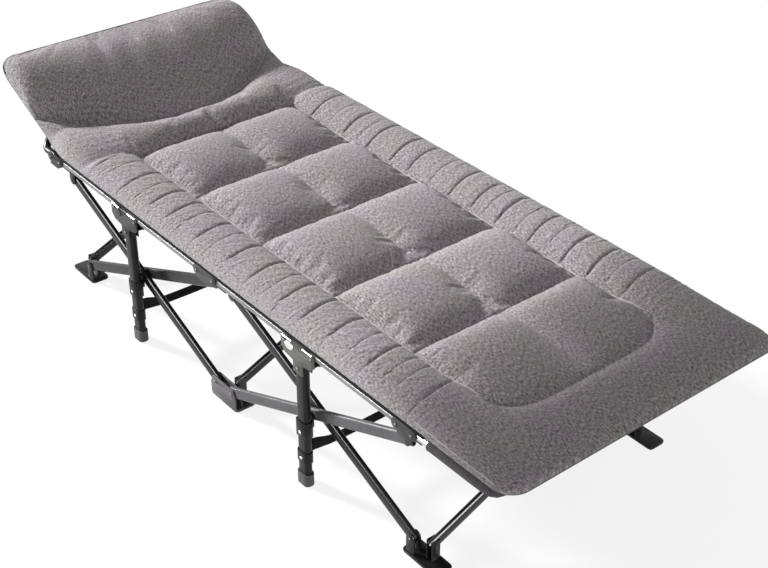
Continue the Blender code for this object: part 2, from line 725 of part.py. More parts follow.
def pillow_height(x, y):
    """Thickness of the pillow, fullest near the head edge and thin all round."""
    start, end = pillow_edge(y), HEAD_END
    body = puff(((start - x) / (start - end)) ** PILLOW_LEAN, 0.5)
    side = min(max((HEAD_HALF_WIDTH - abs(y)) / PILLOW_ROLL, 0.0), 1.0)
    return PAD_EDGE + (PILLOW_CROWN - PAD_EDGE) * body * math.sqrt(1 - (1 - side) ** ROUND_POWER)


def soft_solid(name, columns, rows, height):
    """A closed pad on the bed cloth. Columns gives the X stations of a row, rows the Y stations."""
    base = CLOTH_UNDER + CLOTH_THICK + CLOTH_GAP
    shape = bmesh.new()
    top, under = [], []
    for flat_y in rows:
        stations = columns(flat_y)
        line_top, line_under = [], []
        for number, x in enumerate(stations):
            outer = max(abs(flat_y) - SEAM_Y, 0) / (BED_HALF_WIDTH - SEAM_Y)
            y = math.copysign(min(abs(flat_y), SEAM_Y) + outer * (half_width(x) - SEAM_Y), flat_y)
            rim = abs(flat_y) == BED_HALF_WIDTH or number in (0, len(stations) - 1)
            level = base + bed_rise(x)
            line_under.append(shape.verts.new((x, y, level)))
            line_top.append(shape.verts.new((x, y, level + (PAD_EDGE if rim else height(x, flat_y)))))
        top.append(line_top)
        under.append(line_under)
    for layer in (top, under):
        for line, after in zip(layer, layer[1:]):
            for a, b, c, d in zip(line, line[1:], after[1:], after):
                shape.faces.new((a, b, c, d))
    sides = [(top[0], under[0]), (top[-1], under[-1])]
    sides += [([line[k] for line in top], [line[k] for line in under]) for k in (0, -1)]
    for upper, lower in sides:
        for a, b, c, d in zip(upper, upper[1:], lower[1:], lower):
            shape.faces.new((a, b, c, d))
    bmesh.ops.recalc_face_normals(shape, faces=shape.faces)
    part(name, as_mesh(shape), (MID_X, 0, base), QUILT)


def pad_columns(y):
    """X stations of the pad: the neck roll, the five tufts and the foot panel."""
    first, last = MID_X + TUFT_SEAMS[0], MID_X + TUFT_SEAMS[-1]
    start = pillow_edge(y) + 0.0004
    stations = [start + (first - start) * share for share in (0, 0.08, 0.30, 0.65, 0.90, 1.0)]
    for before, after in zip(TUFT_SEAMS, TUFT_SEAMS[1:]):
        stations += [MID_X + before + (after - before) * share for share in TUFT_SHARES]
    foot = [FOOT_END - EDGE_ROLL, FOOT_END - 0.3 * EDGE_ROLL, FOOT_END]
    return stations + [last + PANEL_RISE, last + 0.080] + foot


def pillow_columns(y):
    """X stations of the pillow, from the head edge to the curved seam."""
    end = pillow_edge(y) - 0.0004
    for step in range(PILLOW_COLUMNS + 1):
        yield HEAD_END + (end - HEAD_END) * (1 - math.cos(math.pi * step / PILLOW_COLUMNS)) / 2


for old in list(bpy.data.objects):
    bpy.data.objects.remove(old)
PARTS = collection("camp_cot")
CUTTERS = collection("cutters")
STEEL = material("painted_steel", (0.060, 0.060, 0.066), 0.35, 0.6)
PLASTIC = material("black_plastic", (0.020, 0.020, 0.022), 0.45)
RUBBER = material("black_rubber", (0.015, 0.015, 0.016), 0.8)
WEBBING = material("black_webbing", (0.015, 0.015, 0.016), 0.9)
DARK_CLOTH = material("dark_cloth", (0.055, 0.055, 0.060), 0.9)
QUILT = material("grey_quilt", (0.270, 0.255, 0.265), 0.95)

for side_name, side in SIDES.items():
    low_mid, end = LINK, 2 * BAY - LINK
    side_tube(f"fore_outer_tube_{side_name}", side, OUTER_Y, -low_mid, -end, True)
    side_tube(f"fore_inner_tube_{side_name}", side, INNER_Y, -end, -low_mid, False)
    side_tube(f"aft_outer_tube_{side_name}", side, OUTER_Y, low_mid, end, True)
    side_tube(f"aft_inner_tube_{side_name}", side, INNER_Y, end, low_mid, False)
    for row in ROWS:
        top_bracket(row, side_name)
        shoe(row, side_name)
    rail(f"head_rail_{side_name}", side, -2 * BAY + RAIL_PIVOT, -BAY - LEG_PIVOT)
    rail(f"fore_rail_{side_name}", side, -RAIL_PIVOT, -BAY + LEG_PIVOT)
    rail(f"aft_rail_{side_name}", side, RAIL_PIVOT, BAY - LEG_PIVOT)
    rail(f"foot_rail_{side_name}", side, 2 * BAY - RAIL_PIVOT, BAY + LEG_PIVOT)
    head_hinge, foot_hinge = -2 * BAY - ARM_PIVOT, 2 * BAY + ARM_PIVOT
    foot_points = [(foot_hinge - RAIL_OVER, RAIL_Y, RAIL_Z), (FOOT_ARM_END, RAIL_Y, RAIL_Z)]
    arm(f"head_arm_{side_name}", side, head_hinge, list(head_arm_points()))
    arm(f"foot_arm_{side_name}", side, foot_hinge, foot_points)
    for which in LEGS:
        leg(which, side_name)
for row, row_x in ROWS.items():
    cross_tube(f"{row}_cross_tube_rising", row_x, 1)
    cross_tube(f"{row}_cross_tube_falling", row_x, -1)
for which in LEGS:
    strap(which)
bed_cloth()
pad_rows = [-y for y in reversed(PAD_ROWS[1:])] + list(PAD_ROWS)
soft_solid("quilted_pad", pad_columns, pad_rows, pad_height)
soft_solid("pillow", lambda y: list(pillow_columns(y)), pad_rows, pillow_height)
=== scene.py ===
# %% [markdown]
# # A folding camp cot
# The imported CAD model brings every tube, bracket, shoe and leg at its real size and place, and it stays as
# it is. This lesson dresses it: paint on steel, moulded plastic, rubber, webbing, and above all the
# quilted bed, which is sewn and filled here with Blender's own cloth solver.

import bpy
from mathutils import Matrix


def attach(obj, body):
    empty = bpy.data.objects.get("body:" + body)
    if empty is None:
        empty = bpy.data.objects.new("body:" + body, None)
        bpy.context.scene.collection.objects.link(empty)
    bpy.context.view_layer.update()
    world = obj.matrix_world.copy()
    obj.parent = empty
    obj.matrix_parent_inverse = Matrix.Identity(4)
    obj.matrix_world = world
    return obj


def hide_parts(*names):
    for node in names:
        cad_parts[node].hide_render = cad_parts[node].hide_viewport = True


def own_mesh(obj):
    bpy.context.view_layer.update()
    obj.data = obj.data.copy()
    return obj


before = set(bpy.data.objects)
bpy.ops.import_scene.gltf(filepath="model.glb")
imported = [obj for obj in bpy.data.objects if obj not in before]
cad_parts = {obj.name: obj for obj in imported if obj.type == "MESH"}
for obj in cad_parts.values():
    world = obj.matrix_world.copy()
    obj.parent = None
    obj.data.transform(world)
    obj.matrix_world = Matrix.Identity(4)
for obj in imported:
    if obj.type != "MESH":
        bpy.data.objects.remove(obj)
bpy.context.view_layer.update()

# %% [markdown]
# The bpy module is Blender itself. NumPy moves many points at once, and mathutils has the vectors,
# matrices and rotations. Colours are shown as they are written, so the view transform is Standard.

# %% Modules that this lesson uses
import math

import bpy
import numpy as np
from mathutils import Matrix, Quaternion, Vector
from mathutils.bvhtree import BVHTree

scene = bpy.context.scene
scene.view_settings.view_transform = "Standard"

# %% [markdown]
# ## Where things are
# The cot is a row of five frames along X: head, fore legs, middle, aft legs and foot, a bay apart. Each
# place could be read from a CAD node, but the same few numbers as in the CAD source are shorter and say
# what they mean, so they place everything that is added here.

# %% Numbers shared with the CAD source, in metres
MID_X = 0.017
BAY = 0.333
RAIL_Y = 0.357
RAIL_Z = 0.352
RAIL_RADIUS = 0.0095
BED_HALF_WIDTH = 0.366
HEAD_END = -0.950
FOOT_END = 0.950
CLOTH_UNDER = 0.3650
CLOTH_TOP = 0.3674
HEAD_BEND = MID_X - 0.703
HEAD_SLOPE = math.tan(math.radians(24.9))
HEAD_HALF_WIDTH = 0.350
NARROW_FROM = MID_X - 0.610
NARROW_TO = MID_X - 0.730
SEAM_Y = 0.223
TUFT_SEAMS = [MID_X + x for x in (-0.500, -0.255, 0.001, 0.260, 0.512, 0.773)]
SIDES = {"left": -1, "right": 1}
print(len(TUFT_SEAMS), "seams across the quilt, bays of", BAY, "m")


def rise(x):
    """How far the sloping head end of the bed has risen at an X."""
    return np.maximum(0.0, (HEAD_BEND - x) * HEAD_SLOPE)


def smooth(value, low, high):
    """0 below low, 1 above high and a smooth step between."""
    t = np.clip((value - low) / (high - low), 0, 1)
    return t * t * (3 - 2 * t)


def half_width(x):
    """Half the bed's width at an X, which is narrower at the head; its round corners are cut elsewhere."""
    return HEAD_HALF_WIDTH + (BED_HALF_WIDTH - HEAD_HALF_WIDTH) * smooth(x, NARROW_TO, NARROW_FROM)


def pillow_edge(y):
    """X of the curved seam between the pad and the pillow."""
    return MID_X - 0.622 - 0.152 * (np.abs(y) / 0.340) ** 1.9


# %% [markdown]
# ## Camera
# A camera can be placed by eye, but then sizes can't be compared with the photograph. This one was found
# by fitting a pinhole camera to about forty points of the photograph. Its lens is a short telephoto, about
# 66 mm on a 36 mm wide sensor, and it is tilted by half a degree.

# %% Place the camera
CAMERA_PLACE = Vector((2.1845, -1.6539, 1.9613))
CAMERA_AIM = Vector((0.0512, 0.0946, 0.1591))
CAMERA_ROLL = math.radians(0.48)
SENSOR = 36.0
FOCAL_PIXELS = 1404
PHOTO_WIDTH = 768

camera = bpy.data.objects.new("camera", bpy.data.cameras.new("camera"))
scene.collection.objects.link(camera)
scene.camera = camera
camera.data.sensor_width = SENSOR
camera.data.lens = FOCAL_PIXELS / PHOTO_WIDTH * SENSOR
camera.location = CAMERA_PLACE
aim = (CAMERA_AIM - CAMERA_PLACE).to_track_quat("-Z", "Y")
camera.rotation_mode = "QUATERNION"
camera.rotation_quaternion = aim @ Quaternion((0, 0, 1), CAMERA_ROLL)
print("lens", round(camera.data.lens, 1), "mm")

# %% [markdown]
# ## World light
# In a white studio the even light of the walls fills the shadows, and the background is white. Turning the
# world up until it looks white would wash out the cloth. So the world has two strengths: a Light Path node
# gives plain white to the camera and to reflections, and a lower strength to everything that it lights.

# %% World light
AMBIENT = 0.47
WHITE = (1, 1, 1, 1)


def node_tree(owner):
    """The nodes and links of a material or world, emptied."""
    owner.use_nodes = True
    owner.node_tree.nodes.clear()
    return owner.node_tree.nodes, owner.node_tree.links


def white_to_the_eye(nodes, links):
    """1 for rays from the camera and for reflected and refracted rays, 0 for the rest."""
    path = nodes.new("ShaderNodeLightPath")
    most = None
    for name in ("Is Camera Ray", "Is Glossy Ray", "Is Transmission Ray"):
        if most is None:
            most = path.outputs[name]
            continue
        bigger = nodes.new("ShaderNodeMath")
        bigger.operation = "MAXIMUM"
        links.new(most, bigger.inputs[0])
        links.new(path.outputs[name], bigger.inputs[1])
        most = bigger.outputs[0]
    return most


world = bpy.data.worlds.new("studio")
scene.world = world
nodes, links = node_tree(world)
dim = nodes.new("ShaderNodeBackground")
dim.inputs["Color"].default_value = WHITE
dim.inputs["Strength"].default_value = AMBIENT
plain = nodes.new("ShaderNodeBackground")
plain.inputs["Color"].default_value = WHITE
plain.inputs["Strength"].default_value = 1.0
mix = nodes.new("ShaderNodeMixShader")
out = nodes.new("ShaderNodeOutputWorld")
links.new(white_to_the_eye(nodes, links), mix.inputs["Fac"])
links.new(dim.outputs[0], mix.inputs[1])
links.new(plain.outputs[0], mix.inputs[2])
links.new(mix.outputs[0], out.inputs["Surface"])
print("the world lights the cot at", AMBIENT)

# %% [markdown]
# ## Key light
# The main light comes from beyond the head end, low and a little from the left, so that it rakes over the
# quilt and the slopes that face the foot end fall into shade. A near lamp would light the head end more
# than the foot end, so a sun lamp is used, with an angle of its own that softens the edges of the shadows.

# %% Key light
KEY_STRENGTH = 7.6
KEY_HEIGHT = math.radians(22)
KEY_TURN = math.radians(20)
KEY_SOFTNESS = math.radians(8)

level = math.cos(KEY_HEIGHT)
toward_key = Vector((-level * math.cos(KEY_TURN), -level * math.sin(KEY_TURN), math.sin(KEY_HEIGHT)))
key = bpy.data.objects.new("key", bpy.data.lights.new("key", "SUN"))
scene.collection.objects.link(key)
key.data.energy = KEY_STRENGTH
key.data.angle = KEY_SOFTNESS
key.location = toward_key * 4
key.rotation_mode = "QUATERNION"
key.rotation_quaternion = toward_key.to_track_quat("Z", "Y")
print("key light from", [round(a, 2) for a in toward_key])

# %% [markdown]
# ## Flag
# The foot end of the cot is darker than the rest. A weaker lamp would darken the whole bed, so a narrow
# board, a flag in a studio's words, stands in the way of the key light and keeps it off the foot end
# alone. Only shadows see it.

# %% Flag that keeps the key off the foot end
SHADE_FROM = 0.50
SHADE_HEIGHT = CLOTH_TOP + 0.03
FLAG_DISTANCE = 1.2
FLAG_SIZE = (0.36, 2.4)

bpy.ops.object.select_all(action="DESELECT")
bpy.ops.mesh.primitive_plane_add(size=1, location=(0, 0, 0))
flag = bpy.context.object
flag.name = "flag"
flag.scale = (*FLAG_SIZE, 1)
flag.rotation_euler = (0, math.pi / 2 - KEY_HEIGHT, 0)
edge = Vector((SHADE_FROM, 0, SHADE_HEIGHT)) + toward_key * FLAG_DISTANCE
across_ray = Vector((math.sin(KEY_HEIGHT), 0, math.cos(KEY_HEIGHT)))
flag.location = edge + across_ray * FLAG_SIZE[0] / 2
for kind in ("camera", "glossy", "transmission", "diffuse"):
    setattr(flag, f"visible_{kind}", False)
print("flag", FLAG_SIZE, "m, its shade starts at", SHADE_FROM)

# %% [markdown]
# ## Soft boxes
# Round and bevelled steel shows thin bright lines where it mirrors the studio's large lamps. Such lamps
# would also flatten the shading of the cloth. Blender can leave a lamp out for one kind of ray, so these
# light nothing that is matt and appear only in reflections.

# %% Soft boxes that draw bright lines along the steel
def soft_box(name, direction, distance, size, brightness):
    """A large soft lamp that only reflections see, so that it adds no light to the cloth."""
    lamp = bpy.data.objects.new(name, bpy.data.lights.new(name, "AREA"))
    scene.collection.objects.link(lamp)
    lamp.data.shape = "RECTANGLE"
    lamp.data.size, lamp.data.size_y = size
    lamp.data.energy = brightness * math.pi * size[0] * size[1]
    lamp.location = Vector(direction).normalized() * distance
    lamp.rotation_mode = "QUATERNION"
    lamp.rotation_quaternion = Vector(direction).to_track_quat("Z", "Y")
    lamp.visible_diffuse = False
    lamp.visible_camera = False
    print(name, size, "m")


soft_box("left soft box", direction=(-0.70, -0.66, 0.28), distance=7.5, size=(5.0, 2.0), brightness=34.0)
soft_box("foot soft box", direction=(0.70, 0.05, 0.70), distance=6.5, size=(4.0, 4.5), brightness=30.0)
soft_box("side soft box", direction=(-0.27, -0.85, 0.42), distance=7.5, size=(3.0, 3.6), brightness=34.0)
soft_box("low soft box", direction=(0.95, 0.22, 0.24), distance=6.5, size=(4.0, 2.2), brightness=24.0)

# %% [markdown]
# ## Floor
# The floor is a large pale plane. As paint alone it would come out grey, and as glow alone it would lose
# the shadow, so it mixes both for the camera: mostly glow, and enough paint to keep a soft shadow under
# the cot.

# %% Floor
FLOOR_SIZE = 30.0
FLOOR_GLOW = 0.85
FLOOR_PAINT = (0.93, 0.93, 0.93, 1)

bpy.ops.object.select_all(action="DESELECT")
bpy.ops.mesh.primitive_plane_add(size=FLOOR_SIZE, location=(0, 0, 0))
floor = bpy.context.object
floor.name = "floor"
paint = bpy.data.materials.new("floor")
nodes, links = node_tree(paint)
matt = nodes.new("ShaderNodeBsdfDiffuse")
matt.inputs["Color"].default_value = FLOOR_PAINT
glow = nodes.new("ShaderNodeEmission")
glow.inputs["Color"].default_value = WHITE
glow.inputs["Strength"].default_value = 1.0
share = nodes.new("ShaderNodeMath")
share.operation = "MULTIPLY"
share.inputs[1].default_value = FLOOR_GLOW
mix = nodes.new("ShaderNodeMixShader")
out = nodes.new("ShaderNodeOutputMaterial")
links.new(white_to_the_eye(nodes, links), share.inputs[0])
links.new(share.outputs[0], mix.inputs["Fac"])
links.new(matt.outputs[0], mix.inputs[1])
links.new(glow.outputs[0], mix.inputs[2])
links.new(mix.outputs[0], out.inputs["Surface"])
floor.data.materials.append(paint)
print("floor", FLOOR_SIZE, "m wide")

# %% [markdown]
# ## Finishes
# Each finish is one Principled shader with a little noise in its colour, roughness and bump. It could be a
# painted image, but noise has no seams and any size of detail. Solid pieces read Object coordinates. The
# quilt reads its own UV map, named weave, which counts metres along the fabric, so that the threads follow
# every fold.

# %% Helpers for materials
def new_finish(name, colour, roughness, **more):
    """A material with one Principled shader; more are further sockets by name."""
    made = bpy.data.materials.new(name)
    nodes, links = node_tree(made)
    shader = nodes.new("ShaderNodeBsdfPrincipled")
    out = nodes.new("ShaderNodeOutputMaterial")
    links.new(shader.outputs[0], out.inputs["Surface"])
    shader.inputs["Base Color"].default_value = (*colour, 1)
    shader.inputs["Roughness"].default_value = roughness
    for socket, value in more.items():
        shader.inputs[socket.replace("_", " ")].default_value = value
    return made, nodes, links, shader


def placed(nodes, links, source, scale):
    """A texture vector: the source's coordinates times a scale for each axis."""
    mapping = nodes.new("ShaderNodeMapping")
    mapping.inputs["Scale"].default_value = scale
    links.new(source, mapping.inputs["Vector"])
    return mapping.outputs[0]


def noise(nodes, links, vector, scale=1.0, detail=3.0, roughness=0.55):
    """A noise value from 0 to 1."""
    texture = nodes.new("ShaderNodeTexNoise")
    texture.inputs["Scale"].default_value = scale
    texture.inputs["Detail"].default_value = detail
    texture.inputs["Roughness"].default_value = roughness
    links.new(vector, texture.inputs["Vector"])
    return texture.outputs[0]


def blend_of(nodes, links, a, b, share):
    """A mix of two values; share is that of the second."""
    mix = nodes.new("ShaderNodeMix")
    mix.inputs[0].default_value = share
    links.new(a, mix.inputs[2])
    links.new(b, mix.inputs[3])
    return mix.outputs[0]


def ramp(nodes, links, value, stops):
    """Colours by value; stops are (place, colour)."""
    made = nodes.new("ShaderNodeValToRGB")
    points = made.color_ramp.elements
    while len(points) < len(stops):
        points.new(0.5)
    for point, (place, colour) in zip(points, stops):
        point.position = place
        point.color = (*colour, 1)
    links.new(value, made.inputs[0])
    return made.outputs[0]


def spread(nodes, links, value, low, high):
    """A 0 to 1 value carried to low to high."""
    made = nodes.new("ShaderNodeMapRange")
    made.inputs["To Min"].default_value = low
    made.inputs["To Max"].default_value = high
    links.new(value, made.inputs["Value"])
    return made.outputs[0]


def bump(nodes, links, shader, height, distance, strength=1.0):
    """Height into the shader's normal, distance in metres."""
    made = nodes.new("ShaderNodeBump")
    made.inputs["Strength"].default_value = strength
    made.inputs["Distance"].default_value = distance
    links.new(height, made.inputs["Height"])
    links.new(made.outputs[0], shader.inputs["Normal"])


def object_space(nodes):
    """Coordinates in metres that stay with a piece as it moves."""
    return nodes.new("ShaderNodeTexCoord").outputs["Object"]


# %% [markdown]
# ## Linen
# The quilt's cover is a loose linen-look weave of grey yarns, some lighter and some darker, with slubs not
# quite a centimetre long. Crossed wave textures would look like a printed grid. Noise that is stretched
# along one direction looks like yarn, so two stretched noises cross here, once for the slubs and once
# more, much finer, for single threads. More of the slubs run along the bed than across it.

# %% Grey heathered linen of the quilt
SLUBS_ALONG, SLUBS_ACROSS = (125, 640, 1), (640, 110, 1)
THREADS_ALONG, THREADS_ACROSS = (160, 1500, 1), (1500, 160, 1)
ACROSS_SHARE = 0.36
THREAD_SHARE = 0.12
YARN_STOPS = (0.41, 0.50, 0.59)
COOL_TINT, WARM_TINT = (1.0, 0.975, 1.01), (1.0, 0.995, 0.95)


def linen(name, dark, middle, light):
    """A loose linen-look weave: slubs of light and dark yarn run both ways."""
    made, nodes, links, shader = new_finish(
        name, middle, 0.92, Sheen_Weight=0.12, Sheen_Roughness=0.6, Specular_IOR_Level=0.01
    )
    cloth = nodes.new("ShaderNodeUVMap")
    cloth.uv_map = "weave"

    def yarns(scale, detail):
        return noise(nodes, links, placed(nodes, links, cloth.outputs[0], scale), detail=detail)

    slubs = blend_of(nodes, links, yarns(SLUBS_ALONG, 1), yarns(SLUBS_ACROSS, 1), ACROSS_SHARE)
    threads = blend_of(nodes, links, yarns(THREADS_ALONG, 2), yarns(THREADS_ACROSS, 2), 0.5)
    both = blend_of(nodes, links, slubs, threads, THREAD_SHARE)
    yarn = ramp(nodes, links, both, list(zip(YARN_STOPS, (dark, middle, light))))
    patches = noise(nodes, links, cloth.outputs[0], scale=9, detail=2)
    tint = ramp(nodes, links, patches, [(0.35, COOL_TINT), (0.65, WARM_TINT)])
    tinted = nodes.new("ShaderNodeMix")
    tinted.data_type = "RGBA"
    tinted.blend_type = "MULTIPLY"
    tinted.inputs[0].default_value = 1.0
    links.new(yarn, tinted.inputs[6])
    links.new(tint, tinted.inputs[7])
    links.new(tinted.outputs[2], shader.inputs["Base Color"])
    bump(nodes, links, shader, threads, 0.0006, 0.6)
    return made


QUILT = linen(
    "grey linen", dark=(0.098, 0.091, 0.095), middle=(0.232, 0.216, 0.225), light=(0.440, 0.412, 0.426)
)
print("finish", QUILT.name)

# %% [markdown]
# ## Dark cloths
# The base cloth, the binding and the straps are tight plain weaves, in which single threads hardly show.
# Here crossed waves do well, broken up by a little noise. They are fine enough for Object coordinates to
# serve.

# %% Black and dark cloths
def plain_weave(name, colour, pitch):
    """A tight plain weave on Object coordinates, for binding, webbing and the base cloth."""
    made, nodes, links, shader = new_finish(name, colour, 0.85, Sheen_Weight=0.05, Specular_IOR_Level=0.02)
    where = object_space(nodes)
    waves = []
    for direction in ("X", "Y"):
        wave = nodes.new("ShaderNodeTexWave")
        wave.bands_direction = direction
        wave.inputs["Scale"].default_value = 0.314 / pitch
        wave.inputs["Distortion"].default_value = 0.6
        links.new(where, wave.inputs["Vector"])
        waves.append(wave.outputs["Fac"])
    weave = blend_of(nodes, links, *waves, 0.5)
    mottled = noise(nodes, links, where, scale=60, detail=4)
    both = blend_of(nodes, links, weave, mottled, 0.5)
    low, high = ([c * k for c in colour] for k in (0.6, 1.5))
    links.new(ramp(nodes, links, both, [(0.3, low), (0.7, high)]), shader.inputs["Base Color"])
    bump(nodes, links, shader, weave, 0.0003, 0.7)
    return made


DARK_CLOTH = plain_weave("dark base cloth", (0.075, 0.070, 0.075), 0.0012)
BINDING = plain_weave("black binding", (0.012, 0.012, 0.013), 0.0010)
WEBBING = plain_weave("black webbing", (0.014, 0.014, 0.015), 0.0020)
print("finishes", DARK_CLOTH.name, BINDING.name, WEBBING.name)

# %% [markdown]
# ## Paint, plastic and bare metal
# The tubes are painted black and dark grey, and the aft outer tubes a lighter grey: a copy of the same
# paint, made lighter as a painted reflection of the bright floor. The brackets and shoes are moulded, the
# plates at the legs are pressed steel, and the rivets are bare. One recipe makes them all: a colour that
# changes slowly over a piece, and a fine grain in the gloss and the surface. A metallic shader would mirror
# the white studio on every flat side, so the paints are plain coats with a low refraction index.

# %% Paint, plastic, rubber and rivets
def grained(name, colour, roughness, grain, depth, **more):
    """A hard finish with a fine grain in its gloss and surface, and a slow change of tone."""
    made, nodes, links, shader = new_finish(name, colour, roughness, **more)
    where = object_space(nodes)
    fine = noise(nodes, links, where, scale=grain, detail=2)
    slow = noise(nodes, links, where, scale=14, detail=4)
    low, high = ([c * k for c in colour] for k in (0.8, 1.25))
    links.new(ramp(nodes, links, slow, [(0.3, low), (0.7, high)]), shader.inputs["Base Color"])
    both = blend_of(nodes, links, fine, slow, 0.5)
    links.new(spread(nodes, links, both, roughness * 0.75, roughness * 1.25), shader.inputs["Roughness"])
    bump(nodes, links, shader, fine, depth, 0.4)
    return made


def paint(name, colour, roughness, index):
    """A smooth coat of paint."""
    return grained(name, colour, roughness, grain=900, depth=0.00001, IOR=index)


def pressed(name, colour, roughness, index):
    """A coated plate with a faintly rough skin."""
    return grained(name, colour, roughness, grain=900, depth=0.00008, IOR=index)


BLACK_STEEL = paint("black gloss paint", (0.007, 0.007, 0.008), 0.24, 1.28)
DARK_STEEL = paint("dark grey gloss paint", (0.018, 0.017, 0.019), 0.22, 1.26)
# The aft outer tubes' grey is the same paint as the black, made lighter: a painted reflection of the bright
# floor.
REFLECTION_GREY_STEEL = paint("grey gloss paint", (0.068, 0.065, 0.069), 0.24, 1.30)
LEG_STEEL = paint("charcoal paint", (0.014, 0.013, 0.014), 0.24, 1.26)
RAIL_STEEL = paint("grey rail paint", (0.170, 0.168, 0.172), 0.24, 1.40)
CROSS_STEEL = paint("black gloss cross tube paint", (0.010, 0.010, 0.011), 0.22, 1.40)
DARK_PLATE = pressed("dark pressed plate", (0.018, 0.017, 0.017), 0.32, 1.28)
# The aft leg plates are a lighter olive grey than the fore ones.
AFT_OLIVE_PLATE = pressed("olive grey pressed plate", (0.060, 0.059, 0.052), 0.36, 1.35)
PLATE_GREY = pressed("grey pressed plate", (0.036, 0.034, 0.035), 0.36, 1.30)
BARE_STEEL = grained("bare bright steel", (0.62, 0.61, 0.60), 0.30, 700, 0.00005, Metallic=1.0)
RIVET = grained("rivet", (0.52, 0.51, 0.50), 0.30, 1500, 0.00005, Metallic=1.0)
SHOE_GREY = grained("grey moulded plastic", (0.080, 0.075, 0.080), 0.42, 1200, 0.0001, IOR=1.30)
PLASTIC = grained("black moulded plastic", (0.009, 0.009, 0.010), 0.34, 1200, 0.0001, IOR=1.26)
RUBBER = grained("black rubber", (0.024, 0.023, 0.025), 0.62, 800, 0.0002)
THREAD = grained("pale thread", (0.48, 0.455, 0.465), 0.85, 900, 0.0001, IOR=1.1)
# The foot piping is pale grey so that the foot edge, which faces away from the key light, doesn't come out
# as a dark line: painted light.
EDGING = grained("grey edging", (0.20, 0.187, 0.195), 0.85, 900, 0.0001, IOR=1.1)
print(len(bpy.data.materials), "materials")

# %% [markdown]
# ## Shapes
# Most pieces repeat the same few moves, so these are written once: choose one object, apply what was done
# to it, make a tube with a rounded section between two points, sweep a round cord along a path, and hand a
# finished piece over to the body of the frame that it moves with. Every piece ends with its object at the
# origin and its place in its mesh, as the CAD nodes have it.

# %% Helpers for pieces
def only(piece):
    """Selects one object and nothing else."""
    bpy.ops.object.select_all(action="DESELECT")
    piece.select_set(True)
    bpy.context.view_layer.objects.active = piece


def added(operator, name, **settings):
    """A new primitive by its operator, named."""
    bpy.ops.object.select_all(action="DESELECT")
    operator(**settings)
    piece = bpy.context.object
    piece.name = piece.data.name = name
    return piece


def put(piece, place):
    """Moves a piece and its mesh to a place, so that its own origin stays at the world's."""
    piece.matrix_world = place
    only(piece)
    bpy.ops.object.transform_apply(location=True, rotation=True, scale=True)


def modified(piece, kind, **settings):
    """Adds one modifier with its settings and applies it."""
    step = piece.modifiers.new(kind.title(), kind)
    for name, value in settings.items():
        setattr(step, name, value)
    only(piece)
    bpy.ops.object.modifier_apply(modifier=step.name)


def joined(pieces, name):
    """Several pieces as one."""
    only(pieces[0])
    for piece in pieces:
        piece.select_set(True)
    bpy.ops.object.join()
    pieces[0].name = pieces[0].data.name = name
    return pieces[0]


def points_of(piece):
    """A mesh's vertices as an array."""
    points = np.zeros(len(piece.data.vertices) * 3)
    piece.data.vertices.foreach_get("co", points)
    return points.reshape(-1, 3)


def set_points(piece, points):
    """Writes an array back to a mesh's vertices."""
    piece.data.vertices.foreach_set("co", np.asarray(points, np.float32).ravel())
    piece.data.update()


def finished(piece, finish, body, nodes=()):
    """Gives a piece its finish, its body and the CAD nodes that it stands for."""
    piece.data.materials.clear()
    piece.data.materials.append(finish)
    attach(piece, body)
    if nodes:
        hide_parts(*nodes)
    return piece


def smoothed(piece, degrees=35):
    """Smooth shading, with edges sharper than the angle kept crisp."""
    only(piece)
    bpy.ops.object.shade_smooth_by_angle(angle=math.radians(degrees))


def along_line(start, end, across):
    """A place in the middle of a line, with Z along it and X across."""
    run = (Vector(end) - Vector(start)).normalized()
    across = Vector(across)
    place = Matrix((across, run.cross(across), run)).transposed().to_4x4()
    place.translation = (Vector(start) + Vector(end)) / 2
    return place


# %% Tubes, cords and rivets
TUBE_WALL = 0.0012


def oval_tube(name, start, end, across, wide, tall, corner, hollow=0.012, sides=32):
    """A tube with a rounded section, wide along across, with open ends that are sunk by hollow."""
    length = (Vector(end) - Vector(start)).length
    tube = added(bpy.ops.mesh.primitive_cylinder_add, name, vertices=sides, radius=corner, depth=length)
    points = points_of(tube)
    half_step = math.pi / sides
    cos, sin = math.cos(half_step), math.sin(half_step)
    flat = points[:, :2] @ np.array(((cos, -sin), (sin, cos))).T
    points[:, :2] = flat + np.sign(flat) * (wide / 2 - corner, tall / 2 - corner)
    set_points(tube, points)
    only(tube)
    bpy.ops.object.mode_set(mode="EDIT")
    bpy.ops.mesh.select_mode(type="FACE")
    bpy.ops.mesh.select_all(action="DESELECT")
    bpy.ops.mesh.select_face_by_sides(number=sides)
    bpy.ops.mesh.inset(thickness=TUBE_WALL)
    bpy.ops.mesh.inset(thickness=0.0001, depth=-hollow)
    bpy.ops.object.mode_set(mode="OBJECT")
    put(tube, along_line(start, end, across))
    smoothed(tube)
    return tube


def cord(name, path, radius, sides=2):
    """A round cord along a path of points, or of (point, own share of the radius)."""
    curve = bpy.data.curves.new(name, "CURVE")
    curve.dimensions = "3D"
    curve.bevel_depth = radius
    curve.bevel_resolution = sides
    curve.use_fill_caps = True
    line = curve.splines.new("POLY")
    line.points.add(len(path) - 1)
    for point, place in zip(line.points, path):
        point.co = (*place[:3], 1)
        if len(place) == 4:
            point.radius = place[3]
    carrier = bpy.data.objects.new(name, curve)
    scene.collection.objects.link(carrier)
    only(carrier)
    bpy.ops.object.convert(target="MESH")
    made = bpy.context.object
    bpy.ops.object.shade_smooth()
    return made


RIVET_RADIUS = 0.0042
RIVET_DOME = 0.42


